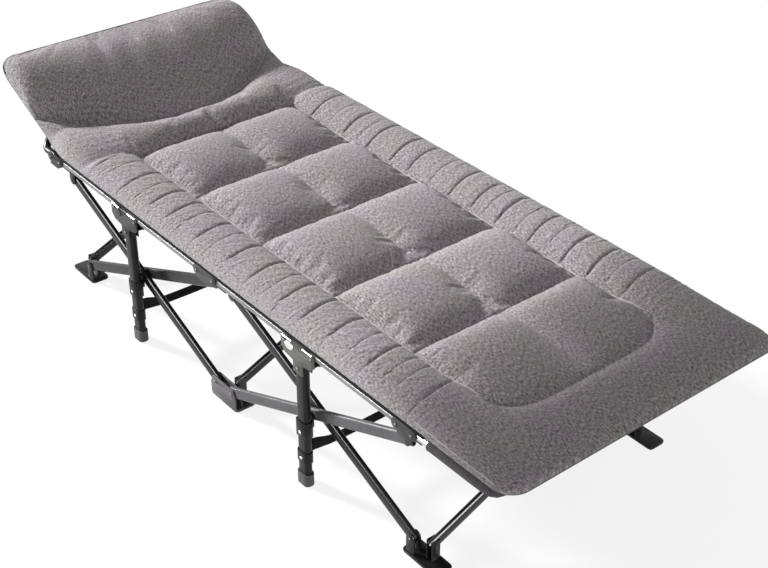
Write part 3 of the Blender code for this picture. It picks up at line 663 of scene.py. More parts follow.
def rivets(body, places):
    """The domed rivet heads of one body; each place is a point and the way it faces."""
    heads = []
    for number, (point, faces) in enumerate(places):
        head = added(
            bpy.ops.mesh.primitive_uv_sphere_add, f"rivet {number}", segments=14, ring_count=8,
            radius=RIVET_RADIUS,
        )
        place = Vector(faces).to_track_quat("Z", "Y").to_matrix().to_4x4()
        place.translation = point
        put(head, place @ Matrix.Diagonal((1, 1, RIVET_DOME, 1)))
        heads.append(head)
    whole = joined(heads, f"rivets_{body}")
    only(whole)
    bpy.ops.object.shade_smooth()
    return finished(whole, RIVET, body)


# %% [markdown]
# ## The quilted pad
# The real pad is two layers of linen with a soft filling, sewn down along lines: an inner seam along each
# side, six seams across, and tucks across the long bolsters. Between the lines it swells. It could be
# sculpted, but the lines of stitches have to be exact. So it is one fine grid that already follows those
# lines. Its sewn points are then pinned, and Blender's cloth solver blows it up from inside, which rounds
# the tufts and pulls small folds towards the stitches.

# %% Curves and distances
CORNER = 0.045
LAST_SEAM_BOW = 0.055


def corner_cut(y, width):
    """How far a rounded corner cuts back the end of the bed at a Y, for a bed that is so wide."""
    over = np.clip(np.abs(y) - (width - CORNER), 0, CORNER)
    return CORNER - np.sqrt(CORNER**2 - over**2)


def puff(share, power=0.7):
    """0 at both ends of a cell and 1 in its middle, rounder than a sine."""
    return np.sin(np.pi * np.clip(share, 0, 1)) ** power


def near(distance, reach, power=1.0):
    """1 on a line and falling to 0 over a few reaches."""
    return np.exp(-((np.abs(distance) / reach) ** power))


def nearest(gaps):
    """The smallest of several signed distances at each point."""
    gaps = np.array(gaps)
    pick = np.argmin(np.abs(gaps), axis=0)
    return np.take_along_axis(gaps, pick[None], axis=0)[0]


def seams_at(y):
    """X of each seam across the tufts at a Y; the ends of the last one curve back towards the head."""
    side = np.minimum(np.abs(y), SEAM_Y) / SEAM_Y
    over = np.clip((np.abs(y) - SEAM_Y) / 0.06, 0, 1)
    bow = LAST_SEAM_BOW * side**6 * (1 - over) ** 2
    return [seam + 0 * y for seam in TUFT_SEAMS[:-1]] + [TUFT_SEAMS[-1] - bow]


# %% Helpers for cloth
BOLSTER_CROWN = 0.031


def grid_sheet(name, x_count, y_count):
    """A grid with x_count by y_count cells, and each vertex's own place in it."""
    sheet = added(
        bpy.ops.mesh.primitive_grid_add, name, x_subdivisions=x_count, y_subdivisions=y_count, size=2,
    )
    flat = points_of(sheet)
    i = np.rint((flat[:, 0] + 1) / 2 * x_count).astype(int)
    j = np.rint((flat[:, 1] + 1) / 2 * y_count).astype(int)
    return sheet, i, j


def unrolled(points):
    """Places on the fabric laid flat: down the outer slopes the way along Y counts the drop as well."""
    x, y, z = points.T
    drop = np.maximum(CLOTH_TOP + rise(x) + BOLSTER_CROWN - z, 0) * smooth(np.abs(y), 0.29, 0.31)
    return np.stack((x, y + np.sign(y) * drop), axis=1)


def weave_map(piece, flat):
    """A UV map named weave, in metres along the fabric."""
    layer = piece.data.uv_layers.get("weave") or piece.data.uv_layers[0]
    layer.name = "weave"
    corners = np.zeros(len(piece.data.loops), int)
    piece.data.loops.foreach_get("vertex_index", corners)
    layer.data.foreach_set("uv", flat[corners].astype(np.float32).ravel())


# %% [markdown]
# The cloth solver runs for a few frames with air pressed into the sheet. A point's weight in the vertex
# group says how firmly it is sewn. Sheets swell unevenly, so the solver's own moves are kept under a cap
# that they approach smoothly.

# %% Filling with the cloth solver
def inflate(piece, sewn, pressure, cap, spare=0.02, frames=20):
    """Pins the sewn points, swells the rest with the cloth solver, and keeps every move under the cap."""
    before = points_of(piece)
    group = piece.vertex_groups.new(name="sewn")
    for number, weight in enumerate(sewn):
        if weight > 0.01:
            group.add([number], float(weight), "REPLACE")
    cloth = piece.modifiers.new("Cloth", "CLOTH")
    rules = cloth.settings
    rules.quality = 5
    rules.mass = 0.2
    rules.tension_stiffness = rules.compression_stiffness = 20
    rules.shear_stiffness = 8
    rules.bending_stiffness = 0.8
    rules.vertex_group_mass = "sewn"
    rules.use_pressure = True
    rules.uniform_pressure_force = pressure
    rules.shrink_min = -spare
    rules.effector_weights.gravity = 0
    cloth.collision_settings.use_collision = False
    cloth.point_cache.frame_start = 1
    cloth.point_cache.frame_end = frames
    for number in range(1, frames + 1):
        scene.frame_set(number)
    only(piece)
    bpy.ops.object.modifier_apply(modifier="Cloth")
    scene.frame_set(1)
    moved = points_of(piece) - before
    length = np.linalg.norm(moved, axis=1, keepdims=True)
    set_points(piece, before + moved * cap * np.tanh(length / cap) / np.maximum(length, 1e-9))
    piece.vertex_groups.clear()
    print(piece.name, "swelled by up to", round(float(length.max()) * 1000, 1), "mm")


# %% Pressing and sliding a finished surface
def normals_of(piece):
    """A mesh's vertex normals as an array."""
    normals = np.zeros(len(piece.data.vertices) * 3)
    piece.data.vertex_normals.foreach_get("vector", normals)
    return normals.reshape(-1, 3)


def press_along_normals(piece, amount):
    """Moves each vertex along its own normal by amount(x, y)."""
    points = points_of(piece)
    set_points(piece, points + normals_of(piece) * amount(points[:, 0], points[:, 1])[:, None])


def slide(piece, move):
    """Slides each vertex along the surface; move(x, y) gives the way along X and along Y."""
    points = points_of(piece)
    normals = normals_of(piece)
    move_x, move_y = move(points[:, 0], points[:, 1])
    drop = (normals[:, 0] * move_x + normals[:, 1] * move_y) / np.maximum(normals[:, 2], 0.35)
    set_points(piece, points + np.stack((move_x, move_y, -drop), axis=1))


def keep_above(piece, height):
    """Keeps every point of a piece that high above the cloth."""
    points = points_of(piece)
    points[:, 2] = np.maximum(points[:, 2], CLOTH_TOP + rise(points[:, 0]) + height)
    set_points(piece, points)


# %% [markdown]
# A sheet that is closed below looks like a filled cushion from every side. A single flat face would cut
# the corner where the head end bends up, so the border is first tied across at the bend, and each part is
# filled on its own.

# %% Closing a sheet below
UNDERSIDE = 0.0004


def bend_ties(piece):
    """Pairs of border points between which the head bend runs under the piece."""
    points = points_of(piece)
    border = np.array([edge.vertices[:] for edge in piece.data.edges if edge.select])
    beyond = points[border, 0] - HEAD_BEND
    crossing = (beyond[:, 0] < 0) != (beyond[:, 1] < 0)
    closest = np.argmin(np.abs(beyond[crossing]), axis=1)
    chosen = sorted(border[crossing][np.arange(len(closest)), closest], key=lambda vertex: points[vertex, 1])
    return list(zip(chosen[::2], chosen[1::2]))


def select_border(wires):
    """Selects the open edges of the piece in edit mode, and loose ones too where asked."""
    bpy.ops.mesh.select_mode(type="EDGE")
    bpy.ops.mesh.select_all(action="DESELECT")
    bpy.ops.mesh.select_non_manifold(
        extend=False, use_wire=wires, use_boundary=True, use_multi_face=False, use_non_contiguous=False,
        use_verts=False,
    )


def close_below(piece):
    """Takes a sheet's border down to the cloth and fills it there, flat on both sides of the bend."""
    only(piece)
    bpy.ops.object.mode_set(mode="EDIT")
    select_border(wires=False)
    bpy.ops.mesh.extrude_region()
    bpy.ops.object.mode_set(mode="OBJECT")
    for vertex in piece.data.vertices:
        if vertex.select:
            vertex.co.z = CLOTH_TOP + float(rise(vertex.co.x)) + UNDERSIDE
    bpy.ops.object.mode_set(mode="EDIT")
    select_border(wires=False)
    bpy.ops.object.mode_set(mode="OBJECT")
    for tie in bend_ties(piece):
        bpy.ops.object.mode_set(mode="EDIT")
        bpy.ops.mesh.select_mode(type="VERT")
        bpy.ops.mesh.select_all(action="DESELECT")
        bpy.ops.object.mode_set(mode="OBJECT")
        for vertex in tie:
            piece.data.vertices[int(vertex)].select = True
        bpy.ops.object.mode_set(mode="EDIT")
        bpy.ops.mesh.edge_face_add()
        bpy.ops.object.mode_set(mode="OBJECT")
    bpy.ops.object.mode_set(mode="EDIT")
    select_border(wires=True)
    bpy.ops.mesh.fill(use_beauty=False)
    bpy.ops.mesh.select_all(action="SELECT")
    bpy.ops.mesh.normals_make_consistent(inside=False)
    bpy.ops.object.mode_set(mode="OBJECT")
    weave_map(piece, unrolled(points_of(piece)))


# %% [markdown]
# The grid's rows and columns are spaced so that a line of points runs along every seam. An even grid would
# cross the seams between its points, and its stitches would zigzag.

# %% Rows and columns of the pad's grid
CELL = 0.0062
BOLSTER_ROWS = 26
ROLL_COLUMNS = 28
FOOT_COLUMNS = 26
EDGE_CROWDING = 0.25

straight = [TUFT_SEAMS[0]]
for start, end in zip(TUFT_SEAMS, TUFT_SEAMS[1:]):
    steps = round((end - start) / CELL)
    straight += [start + (end - start) * (i + 1) / steps for i in range(steps)]
straight = np.array(straight)
share = np.linspace(0, 1, BOLSTER_ROWS + 1)
crowded = (1 - EDGE_CROWDING) * share + EDGE_CROWDING * np.sin(share * np.pi / 2)
bolster = SEAM_Y + (BED_HALF_WIDTH - SEAM_Y) * crowded
inner = np.linspace(-SEAM_Y, SEAM_Y, 2 * round(SEAM_Y / CELL) + 1)
rows = np.concatenate((-bolster[:0:-1], inner, bolster[1:]))
columns = ROLL_COLUMNS + len(straight) - 1 + FOOT_COLUMNS
print("pad grid", columns + 1, "x", len(rows))

# %% [markdown]
# The solver only adds the last softness. The large shape is a height for each place of the bed: two
# columns of tufts with a valley between them, a bolster along each side, pinched by its tucks, a roll at
# the neck and a plain panel at the foot, all of it falling to a thin rim.

# %% [markdown]
# The bolsters are drawn in by hand-sewn tucks at uneven distances, deep ones and small ones between them.
# An even row would look machine-made, so each tuck has its own place, in metres along X from the middle
# row.

# %% Tucks across the bolsters
TUCKS = {
    "left": (-0.492, -0.367, -0.258, -0.188, -0.072, 0.045, 0.130, 0.238, 0.312, 0.395, 0.514, 0.661),
    "right": (-0.436, -0.307, -0.215, -0.125, -0.062, 0.086, 0.160, 0.243, 0.345, 0.447, 0.521, 0.620),
}
SMALL_TUCKS = {
    "left": (-0.440, -0.310, -0.136, -0.020, 0.190, 0.458, 0.563, 0.600),
    "right": (-0.370, -0.255, 0.015, 0.200, 0.300, 0.395, 0.570),
}
SMALL_TUCK_DEPTH = 0.35
TUCK_SLANT = {"left": 0.030, "right": -0.015}
print(sum(len(places) for places in TUCKS.values()), "deep tucks")


def tuck_gaps(x, y, side):
    """(signed distance along X, depth) for each tuck of one bolster."""
    out = np.clip((SIDES[side] * y - SEAM_Y) / (BED_HALF_WIDTH - SEAM_Y), 0, 1)
    for places, depth in ((TUCKS[side], 1.0), (SMALL_TUCKS[side], SMALL_TUCK_DEPTH)):
        for place in places:
            yield x - (MID_X + place - TUCK_SLANT[side] * (1 - out) ** 2), depth


def tucks(x, y, head_reach, foot_reach):
    """How near each point is to a tuck across the bolsters, from 0 to 1."""
    most = np.zeros_like(x)
    for side, sign in SIDES.items():
        out = np.clip((sign * y - SEAM_Y) / (BED_HALF_WIDTH - SEAM_Y), 0, 1)
        strength = smooth(out, 0.01, 0.08) * (1 - 0.85 * smooth(out, 0.62, 0.95)) * (sign * y > SEAM_Y)
        for gap, depth in tuck_gaps(x, y, side):
            reach = np.where(gap < 0, head_reach, foot_reach)
            most = np.maximum(most, depth * near(gap, reach) * strength)
    return most


# %% [markdown]
# Seen from the side a tuft isn't a half circle: it climbs steeply from its seam at the head end, is
# highest at about a third, and falls slowly to the next seam. The heights here are shares, and the whole
# pad's cell turns them into metres.

# %% Heights of the tufts
TUFT_CREST = 0.35
LAST_TUFT_LOWER = 0.18
VALLEY_DEPTH, VALLEY_DEEPENS = 0.52, 0.26
VALLEY_REACH = 0.036
SIDE_REACH = 0.021
PANEL_LOW, PANEL_HIGH = 0.22, 0.40
INNER_SEAMS_END = (MID_X + 0.62, MID_X + 0.72)


def tuft_profile(share):
    """A tuft seen from the side: steep at its head end, highest at a third, and a long fall to the foot."""
    climb = (1 - (1 - np.minimum(share / TUFT_CREST, 1)) ** 2.2) ** 0.75
    fall = (np.maximum(share - TUFT_CREST, 0) / (1 - TUFT_CREST)) ** 2
    return climb * (1 - fall)


def tuft_height(x, y):
    """Height of the two columns of tufts and of the plain panel after them."""
    side = np.abs(y)
    seams = seams_at(y)
    share = np.zeros_like(x)
    for start, end in zip(seams, seams[1:]):
        inside = (x >= start) & (x <= end)
        share = np.where(inside, np.clip((x - start) / (end - start), 0, 1), share)
    body = tuft_profile(share)
    body = body * (1 - LAST_TUFT_LOWER * smooth(x, TUFT_SEAMS[-2], TUFT_SEAMS[-2] + 0.05))
    depth = VALLEY_DEPTH + VALLEY_DEEPENS * smooth(share, 0.20, 0.65)
    valley = 1 - depth * near(y, VALLEY_REACH, 1.4)
    panel = PANEL_HIGH * (1 - near(x - seams[-1], 0.030)) + PANEL_LOW
    body = np.where(x > seams[-1], panel, body * valley)
    fade = 1 - 0.8 * smooth(x, *INNER_SEAMS_END)
    return body * (1 - near(SEAM_Y - side, SIDE_REACH, 0.95) * fade)


# %% [markdown]
# A bolster rises at once from its inner seam, has its crest a little past the middle and falls over the
# bed's edge. The neck roll is fullest a little nearer to the pillow than to the first tufts.

# %% Heights of the bolsters and the neck roll
BOLSTER_CREST = 0.302
TUCK_DENT = 0.05
ROLL_FULL = 0.96


def bolster_height(x, y):
    """Height of the bolsters along both sides, and how far out towards the bed's edge each point is."""
    side = np.abs(y)
    width = half_width(x)
    inner = np.clip((side - SEAM_Y) / (BOLSTER_CREST - SEAM_Y), 0, 1)
    crest = SEAM_Y + (BOLSTER_CREST - SEAM_Y) * (width - SEAM_Y) / (BED_HALF_WIDTH - SEAM_Y)
    outer = np.clip((side - crest) / (width - crest), 0, 1)
    fade = 1 - smooth(x, MID_X + 0.58, MID_X + 0.74)
    rise_in = (1 - (1 - inner) ** 2.1) ** 0.88
    rise_in = rise_in * fade + (1 - fade) * (0.62 + 0.38 * inner)
    return rise_in * (1 - TUCK_DENT * tucks(x, y, 0.008, 0.004)), outer


def roll_height(x, y):
    """Height of the neck roll, which runs on over both sides between the pillow and the first tufts."""
    start = pillow_edge(y)
    share = np.clip((x - start) / (TUFT_SEAMS[0] - start), 0, 1)
    return ROLL_FULL * puff(share**0.8, 0.55)


# %% Height of the whole pad
TUFT_CROWN = 0.035
SEWN_HEIGHT = 0.0055
RIM = 0.0015
FOOT_ROUNDING = 0.040
LOW_END_SHARE = 0.42


def pad_height(x, y):
    """Height of the pad above the cloth."""
    bolster, outer = bolster_height(x, y)
    outside = np.abs(y) >= SEAM_Y
    first = TUFT_SEAMS[0]
    height = np.where(outside, BOLSTER_CROWN * bolster, TUFT_CROWN * tuft_height(x, y))
    low_end = 1 - LOW_END_SHARE * smooth(x, MID_X + 0.60, MID_X + 0.86)
    roll = TUFT_CROWN * roll_height(x, y)
    carried_on = np.where(outside, BOLSTER_CROWN * bolster * smooth(x, first - 0.055, first), 0)
    height = np.where(x < first, np.maximum(roll, carried_on), height * low_end)
    height = SEWN_HEIGHT + height * (1 - near(x - pillow_edge(y), 0.013))
    foot_start = FOOT_END - corner_cut(y, BED_HALF_WIDTH) - FOOT_ROUNDING
    foot = np.clip((x - foot_start) / FOOT_ROUNDING, 0, 1)
    round_off = np.sqrt(np.clip(1 - outer**2.3, 0, 1)) * np.sqrt(np.clip(1 - foot**2.3, 0, 1))
    return RIM + (height - RIM) * round_off


# %% Lay the grid out on the bed
SEAM_MARGIN = 0.0006
FOOT_MARGIN = 0.0015
FOOT_CROWDING = 0.35


def pad_points(i, j):
    """Places of the grid's points on the bed."""
    y = rows[j].copy()
    x = np.empty_like(y)
    roll = i <= ROLL_COLUMNS
    start = pillow_edge(y) + SEAM_MARGIN
    x[roll] = (start + (TUFT_SEAMS[0] - start) * i / ROLL_COLUMNS)[roll]
    middle = (i > ROLL_COLUMNS) & (i < ROLL_COLUMNS + len(straight))
    x[middle] = straight[i[middle] - ROLL_COLUMNS]
    last = seams_at(y)[-1]
    pouch = middle & (x > TUFT_SEAMS[-2])
    drawn_in = (last - TUFT_SEAMS[-2]) / (TUFT_SEAMS[-1] - TUFT_SEAMS[-2])
    x[pouch] = (TUFT_SEAMS[-2] + (x - TUFT_SEAMS[-2]) * drawn_in)[pouch]
    foot = i >= ROLL_COLUMNS + len(straight) - 1
    end = FOOT_END - FOOT_MARGIN - corner_cut(y, BED_HALF_WIDTH)
    t = (i - (ROLL_COLUMNS + len(straight) - 1)) / FOOT_COLUMNS
    t = np.sin(t * math.pi / 2) * FOOT_CROWDING + t * (1 - FOOT_CROWDING)
    x[foot] = (last + (end - last) * t)[foot]
    side = np.abs(y)
    out = np.maximum(side - SEAM_Y, 0) * (half_width(x) - SEAM_Y) / (BED_HALF_WIDTH - SEAM_Y)
    y = np.sign(y) * (np.minimum(side, SEAM_Y) + out)
    return np.stack((x, y, CLOTH_TOP + rise(x) + pad_height(x, y)), axis=1)


pad, i, j = grid_sheet("quilt", columns, len(rows) - 1)
shape = pad_points(i, j)
set_points(pad, shape)
print("pad laid out from", round(float(shape[:, 0].min()), 3), "to", round(float(shape[:, 0].max()), 3))

# %% [markdown]
# ## Sewing
# Each line of stitches holds its points fast. The valley between the two columns of tufts is drawn down by
# single stitches, so it is held more firmly near the seams than between them. The bolsters are packed
# hard, so they are held almost still.

# %% Sew and fill the pad
VALLEY_HOLD, SEAM_PULL = 0.32, 0.38
BOLSTER_HOLD = 0.8
BULGE_PRESSURE = 3.0
BULGE_CAP = 0.007


def inner_seams(x):
    """1 where the two inner seams run and 0 over the neck roll and near the foot."""
    begun = smooth(x, TUFT_SEAMS[0] - 0.002, TUFT_SEAMS[0] + 0.002)
    return begun * (1 - smooth(x, *INNER_SEAMS_END))


x, y = shape[:, 0], shape[:, 1]
side = np.abs(y)
rim = (i == 0) | (i == columns) | (j == 0) | (j == len(rows) - 1)
sewn = np.where(rim, 1.0, 0.0)
sewn = np.maximum(sewn, (np.abs(side - SEAM_Y) < CELL / 2) * inner_seams(x))
cross_lines = np.abs(nearest([x - seam for seam in seams_at(y)]))
sewn = np.maximum(sewn, (cross_lines < 0.001) & (side < SEAM_Y))
valley_hold = VALLEY_HOLD + SEAM_PULL * near(cross_lines, 0.05)
sewn = np.maximum(sewn, (side < CELL / 2) * valley_hold * inner_seams(x))
sewn = np.maximum(sewn, BOLSTER_HOLD * smooth(side, SEAM_Y, SEAM_Y + 0.02))
print("sewn points", int((sewn > 0.99).sum()))
inflate(pad, sewn, BULGE_PRESSURE, BULGE_CAP)

# %% [markdown]
# Sewing leaves three marks that the solver is too coarse for: a sharp crease on each line of stitches,
# small gathers that run away from the lines, and faint wrinkles over the bolsters. A bump map would not
# show in the outline or cast shade, so they are pressed into the finished surface along its normals. First
# the points near each line slide towards it, so that there are enough of them for a sharp crease.

# %% Draw the points towards the lines
DRAWN_SHARE = 0.65
DRAWN_REACH = 0.010


def waver(along, pitch, phase):
    """Uneven waves with about the given pitch, from -1 to 1."""
    turns = along * 2 * np.pi / pitch
    bend = 1.7 * np.sin(turns / 7.3 + phase) + np.sin(turns / 3.1)
    return np.sin(turns + bend + phase)


def to_the_lines(x, y):
    """Draws the points towards the nearest stitched line, so that its crease can be sharp."""
    side = np.abs(y)
    sign = np.sign(y)
    seam_gap = nearest([x - seam for seam in seams_at(y)])
    inside = smooth(SEAM_Y - side, 0.0, 0.010)
    move_x = -seam_gap * near(seam_gap, DRAWN_REACH, 2) * inside
    for name, way in SIDES.items():
        gap = nearest([gap for gap, depth in tuck_gaps(x, y, name)])
        on_bolster = smooth(way * y - SEAM_Y, 0.004, 0.020) * (x > TUFT_SEAMS[0] - 0.02)
        move_x -= gap * near(gap, DRAWN_REACH, 2) * on_bolster
    line_gap = side - SEAM_Y
    move_y = -sign * line_gap * near(line_gap, DRAWN_REACH, 2) * inner_seams(x)
    return DRAWN_SHARE * move_x, DRAWN_SHARE * move_y


# %% Creases and gathers of the seams across
GATHER_PITCH = 0.0105
RIB_PITCH = 0.0098
SHARP_CREASE, SOFT_CREASE = 0.0044, 0.0016
GATHER_HEIGHT = 0.0009
RIB_HEIGHT = 0.0008
VALLEY_CREASE = 0.0026


def seam_marks(x, y):
    """Creases and gathers of the seams across the tufts, and the ribs in the valley between them."""
    side = np.abs(y)
    inside = smooth(SEAM_Y - side, -0.001, 0.004)
    marks = np.zeros_like(x)
    for number, seam in enumerate(seams_at(y)):
        gap = x - seam
        off_line = 1 - near(gap, 0.003)
        between_tufts = number < len(TUFT_SEAMS) - 1
        depth = SHARP_CREASE if between_tufts else SOFT_CREASE
        marks -= depth * near(gap, np.where(gap < 0, 0.0034, 0.0020)) * inside
        marks += GATHER_HEIGHT * waver(y, GATHER_PITCH, number) * near(gap, 0.018) * off_line * inside
        if between_tufts:
            ribs = waver(x, RIB_PITCH, number) * near(y, 0.026, 2) * near(gap, 0.045, 2)
            marks += RIB_HEIGHT * ribs * off_line * inside
            marks -= VALLEY_CREASE * near(y, 0.004) * near(gap, 0.060, 2) * inside
    return marks


# %% Creases, pleats and wrinkles of the bolsters
INNER_CREASE = 0.0024
TUCK_CREASE = 0.0042
PLEAT_PITCH, PLEAT_HEIGHT = 0.0100, 0.0009
WRINKLE_PITCH, WRINKLE_HEIGHT = 0.027, 0.0003
GATHER_OUTSIDE, GATHER_INSIDE = 0.0002, 0.0011


def bolster_marks(x, y):
    """Creases of the inner seams and tucks, and the pleats and wrinkles beyond them."""
    side = np.abs(y)
    sign = np.sign(y)
    seam_gap = side - SEAM_Y
    marks = -INNER_CREASE * near(seam_gap, 0.0018) * inner_seams(x)
    marks -= TUCK_CREASE * tucks(x, y, 0.0024, 0.0015)
    gather = waver(x, RIB_PITCH, 2 * sign) * (1 - near(seam_gap, 0.004)) * inner_seams(x)
    marks += np.where(seam_gap > 0, GATHER_OUTSIDE, GATHER_INSIDE) * gather * near(seam_gap, 0.020, 1.5)
    out = np.clip(seam_gap / (half_width(x) - SEAM_Y), 0, 1)
    groups = 0.5 + 0.5 * waver(x, 0.087, 3 * sign)
    outer_half = smooth(out, 0.50, 0.70) * (1 - smooth(out, 0.93, 1.0))
    pleats = waver(x + 0.15 * side, PLEAT_PITCH, sign) * outer_half
    marks += PLEAT_HEIGHT * pleats * groups * (1 - smooth(x, MID_X + 0.66, MID_X + 0.80))
    inner_half = smooth(out, 0.0, 0.2) * (1 - smooth(out, 0.6, 0.8))
    return marks + WRINKLE_HEIGHT * waver(x + 0.2 * side, WRINKLE_PITCH, sign) * inner_half


def sewing_marks(x, y):
    """How far the surface is pressed out (or in) at a place of the pad."""
    from_pillow = x - pillow_edge(y)
    puckers = waver(y, GATHER_PITCH, 1) * near(from_pillow, 0.020) * (1 - near(from_pillow, 0.003))
    return seam_marks(x, y) + bolster_marks(x, y) + GATHER_HEIGHT * puckers


# %% Finish the pad
LEAST_COVER = 0.0014

modified(pad, "SUBSURF", levels=1, render_levels=1)
slide(pad, to_the_lines)
press_along_normals(pad, sewing_marks)
keep_above(pad, LEAST_COVER)
close_below(pad)
only(pad)
bpy.ops.object.shade_smooth()
finished(pad, QUILT, "bed", ["quilted_pad"])
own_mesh(pad)
print("quilt", len(pad.data.polygons), "faces")

# %% [markdown]
# ## The pillow
# The pillow is a smooth cover of the same linen over a soft filling. It is sewn to the pad along the
# curved seam, is thickest a little past the middle of its width, and lies on the slope of the head end. A
# flattened cube would have corners of its own, so it is a grid like the pad, and its rows follow the
# curve.

# %% Height of the pillow
PILLOW_CROWN = 0.052
PILLOW_EDGE = 0.007
PILLOW_CREST = 0.56
PILLOW_SIDE = 0.045


def pillow_height(x, y, end, width):
    """Height of the pillow above the sloping cloth, thickest a little past the middle of its way down."""
    share = np.clip((x - end) / (pillow_edge(y) - end), 0, 1)
    to_side = np.clip((width - np.abs(y)) / PILLOW_SIDE, 0, 1)
    head = (1 - (1 - np.minimum(share / PILLOW_CREST, 1)) ** 2.1) ** 0.9
    fall = 1 - 0.97 * (np.maximum(share - PILLOW_CREST, 0) / (1 - PILLOW_CREST)) ** 2.2
    over = head * fall * (1 - (1 - to_side) ** 2.3) ** 0.5
    edge = PILLOW_EDGE * (1 - (1 - to_side) ** 6) * (1 - 0.5 * smooth(share, 0.8, 1.0))
    return edge + (PILLOW_CROWN - PILLOW_EDGE) * over + RIM


# %% Marks of the sewing on the pillow
PUCKER_PITCH, PUCKER_HEIGHT = 0.0110, 0.0012
SOFT_FOLD_PITCH, SOFT_FOLD_HEIGHT = 0.110, 0.0007


def pillow_marks(x, y):
    """Stitch puckers along the curved seam and a few soft folds."""
    from_seam = pillow_edge(y) - x
    near_seam = near(from_seam, 0.018) * (1 - near(from_seam, 0.003))
    pucker = PUCKER_HEIGHT * waver(y, PUCKER_PITCH, 0) * near_seam
    from_head = x - HEAD_END
    soft = smooth(from_seam, 0.02, 0.12) * smooth(from_head, 0.03, 0.10)
    return pucker + SOFT_FOLD_HEIGHT * waver(y + 0.3 * x, SOFT_FOLD_PITCH, 2) * soft


# %% Make the pillow
PILLOW_COLUMNS = 56
PILLOW_ROWS = 110
PILLOW_PRESSURE = 1.5
PILLOW_CAP = 0.006
ROW_CROWDING = 0.41 * np.pi

pillow, i, j = grid_sheet("pillow_cover", PILLOW_COLUMNS, PILLOW_ROWS)
across = np.sin((j / PILLOW_ROWS - 0.5) * 2 * ROW_CROWDING) / np.sin(ROW_CROWDING)
edge_y = across * HEAD_HALF_WIDTH
start = pillow_edge(edge_y) - SEAM_MARGIN
end = HEAD_END + corner_cut(edge_y, HEAD_HALF_WIDTH)
share = i / PILLOW_COLUMNS
share = 0.85 * share + 0.15 * (1 - np.cos(share * np.pi)) / 2
x = end + (start - end) * share
y = across * half_width(x)
z = CLOTH_TOP + rise(x) + pillow_height(x, y, end, half_width(x))
shape = np.stack((x, y, z), axis=1)
set_points(pillow, shape)
rim = (i == 0) | (i == PILLOW_COLUMNS) | (j == 0) | (j == PILLOW_ROWS)
inflate(pillow, np.where(rim, 1.0, 0.0), PILLOW_PRESSURE, PILLOW_CAP)
modified(pillow, "SUBSURF", levels=1, render_levels=1)
press_along_normals(pillow, pillow_marks)
keep_above(pillow, LEAST_COVER)
close_below(pillow)
only(pillow)
bpy.ops.object.shade_smooth()
finished(pillow, QUILT, "bed", ["pillow"])
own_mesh(pillow)
print("pillow", len(pillow.data.polygons), "faces")

# %% [markdown]
# ## Base cloth
# One sheet of dark cloth carries the pad, stretched flat between the rails. A cloth under tension has
# nothing for the solver to find, so it is a plain grid that follows the bed's outline and the bend at the
# head end, with Solidify for its thickness.

# %% Base cloth
CLOTH_THICK = 0.0013
CLOTH_GAP = 0.0005
CLOTH_FOOT_MARGIN = 0.0025
CLOTH_CELLS = (150, 60)

base, i, j = grid_sheet("base_cloth", *CLOTH_CELLS)
across = 2 * j / CLOTH_CELLS[1] - 1
start = HEAD_END + corner_cut(across * HEAD_HALF_WIDTH, HEAD_HALF_WIDTH)
end = FOOT_END - CLOTH_FOOT_MARGIN - corner_cut(across * BED_HALF_WIDTH, BED_HALF_WIDTH)
x = start + (end - start) * i / CLOTH_CELLS[0]
y = across * half_width(x)
z = CLOTH_TOP - CLOTH_THICK - CLOTH_GAP + rise(x)
set_points(base, np.stack((x, y, z), axis=1))
weave_map(base, np.stack((x, y), axis=1))
modified(base, "SOLIDIFY", thickness=CLOTH_THICK, offset=1.0)
only(base)
bpy.ops.object.shade_smooth()
finished(base, DARK_CLOTH, "bed", ["bed_cloth"])
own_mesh(base)
print("base cloth", len(base.data.polygons), "faces")

# %% [markdown]
# ## Hems and piping
# A black hem runs along the rails, and both ends of the bed have a thin rounded edge. A bevel of the
# sheets' own border would be flat, and these edges are rolled, so each is a round cord along the border.

# %% Hems along the rails and piping round both ends
HEM_RADIUS = 0.0041
HEM_START, HEM_END = MID_X - 0.640, MID_X + 0.712
PIPING_RADIUS = 0.0014
PIPING_LIFT = 0.0088
EDGING_RADIUS = 0.0011
EDGING_LIFT = 0.0002
EDGING_MARGIN = 0.0012


def hem_path(side, step=0.02):
    """Points of the black hem that lies on the rails of one side."""
    for x in np.linspace(HEM_START, HEM_END, int((HEM_END - HEM_START) / step)):
        yield float(x), side * (float(half_width(x)) - 0.0008), CLOTH_UNDER - 0.0002


def end_path(x_end, way, width, lift):
    """Points round one end of the bed, from corner to corner; way is -1 at the head and 1 at the foot."""
    half = []
    for angle in np.linspace(0, math.pi / 2, 11):
        x = x_end - way * CORNER * (1 - math.sin(angle))
        y = width - CORNER * (1 - math.cos(angle))
        half.append((x, y, CLOTH_TOP + lift + float(rise(x))))
    return [(x, -y, z) for x, y, z in half] + [(x, y, z) for x, y, z in reversed(half)]


trims = []
for side_name, side in SIDES.items():
    hem = cord(f"hem_{side_name}", list(hem_path(side)), HEM_RADIUS, sides=3)
    trims.append(finished(hem, BINDING, "bed"))
head_edge = end_path(HEAD_END + 0.001, -1, HEAD_HALF_WIDTH - 0.001, PIPING_LIFT)
trims.append(finished(cord("head_piping", head_edge, PIPING_RADIUS), BINDING, "bed"))
# Its pale grey stands in for light on the foot edge that faces away from the key: painted light.
foot_edge = end_path(FOOT_END - EDGING_MARGIN, 1, BED_HALF_WIDTH - EDGING_MARGIN, EDGING_LIFT)
trims.append(finished(cord("foot_piping", foot_edge, EDGING_RADIUS), EDGING, "bed"))
for trim in trims:
    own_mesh(trim)
print(len(trims), "hems and pipings")

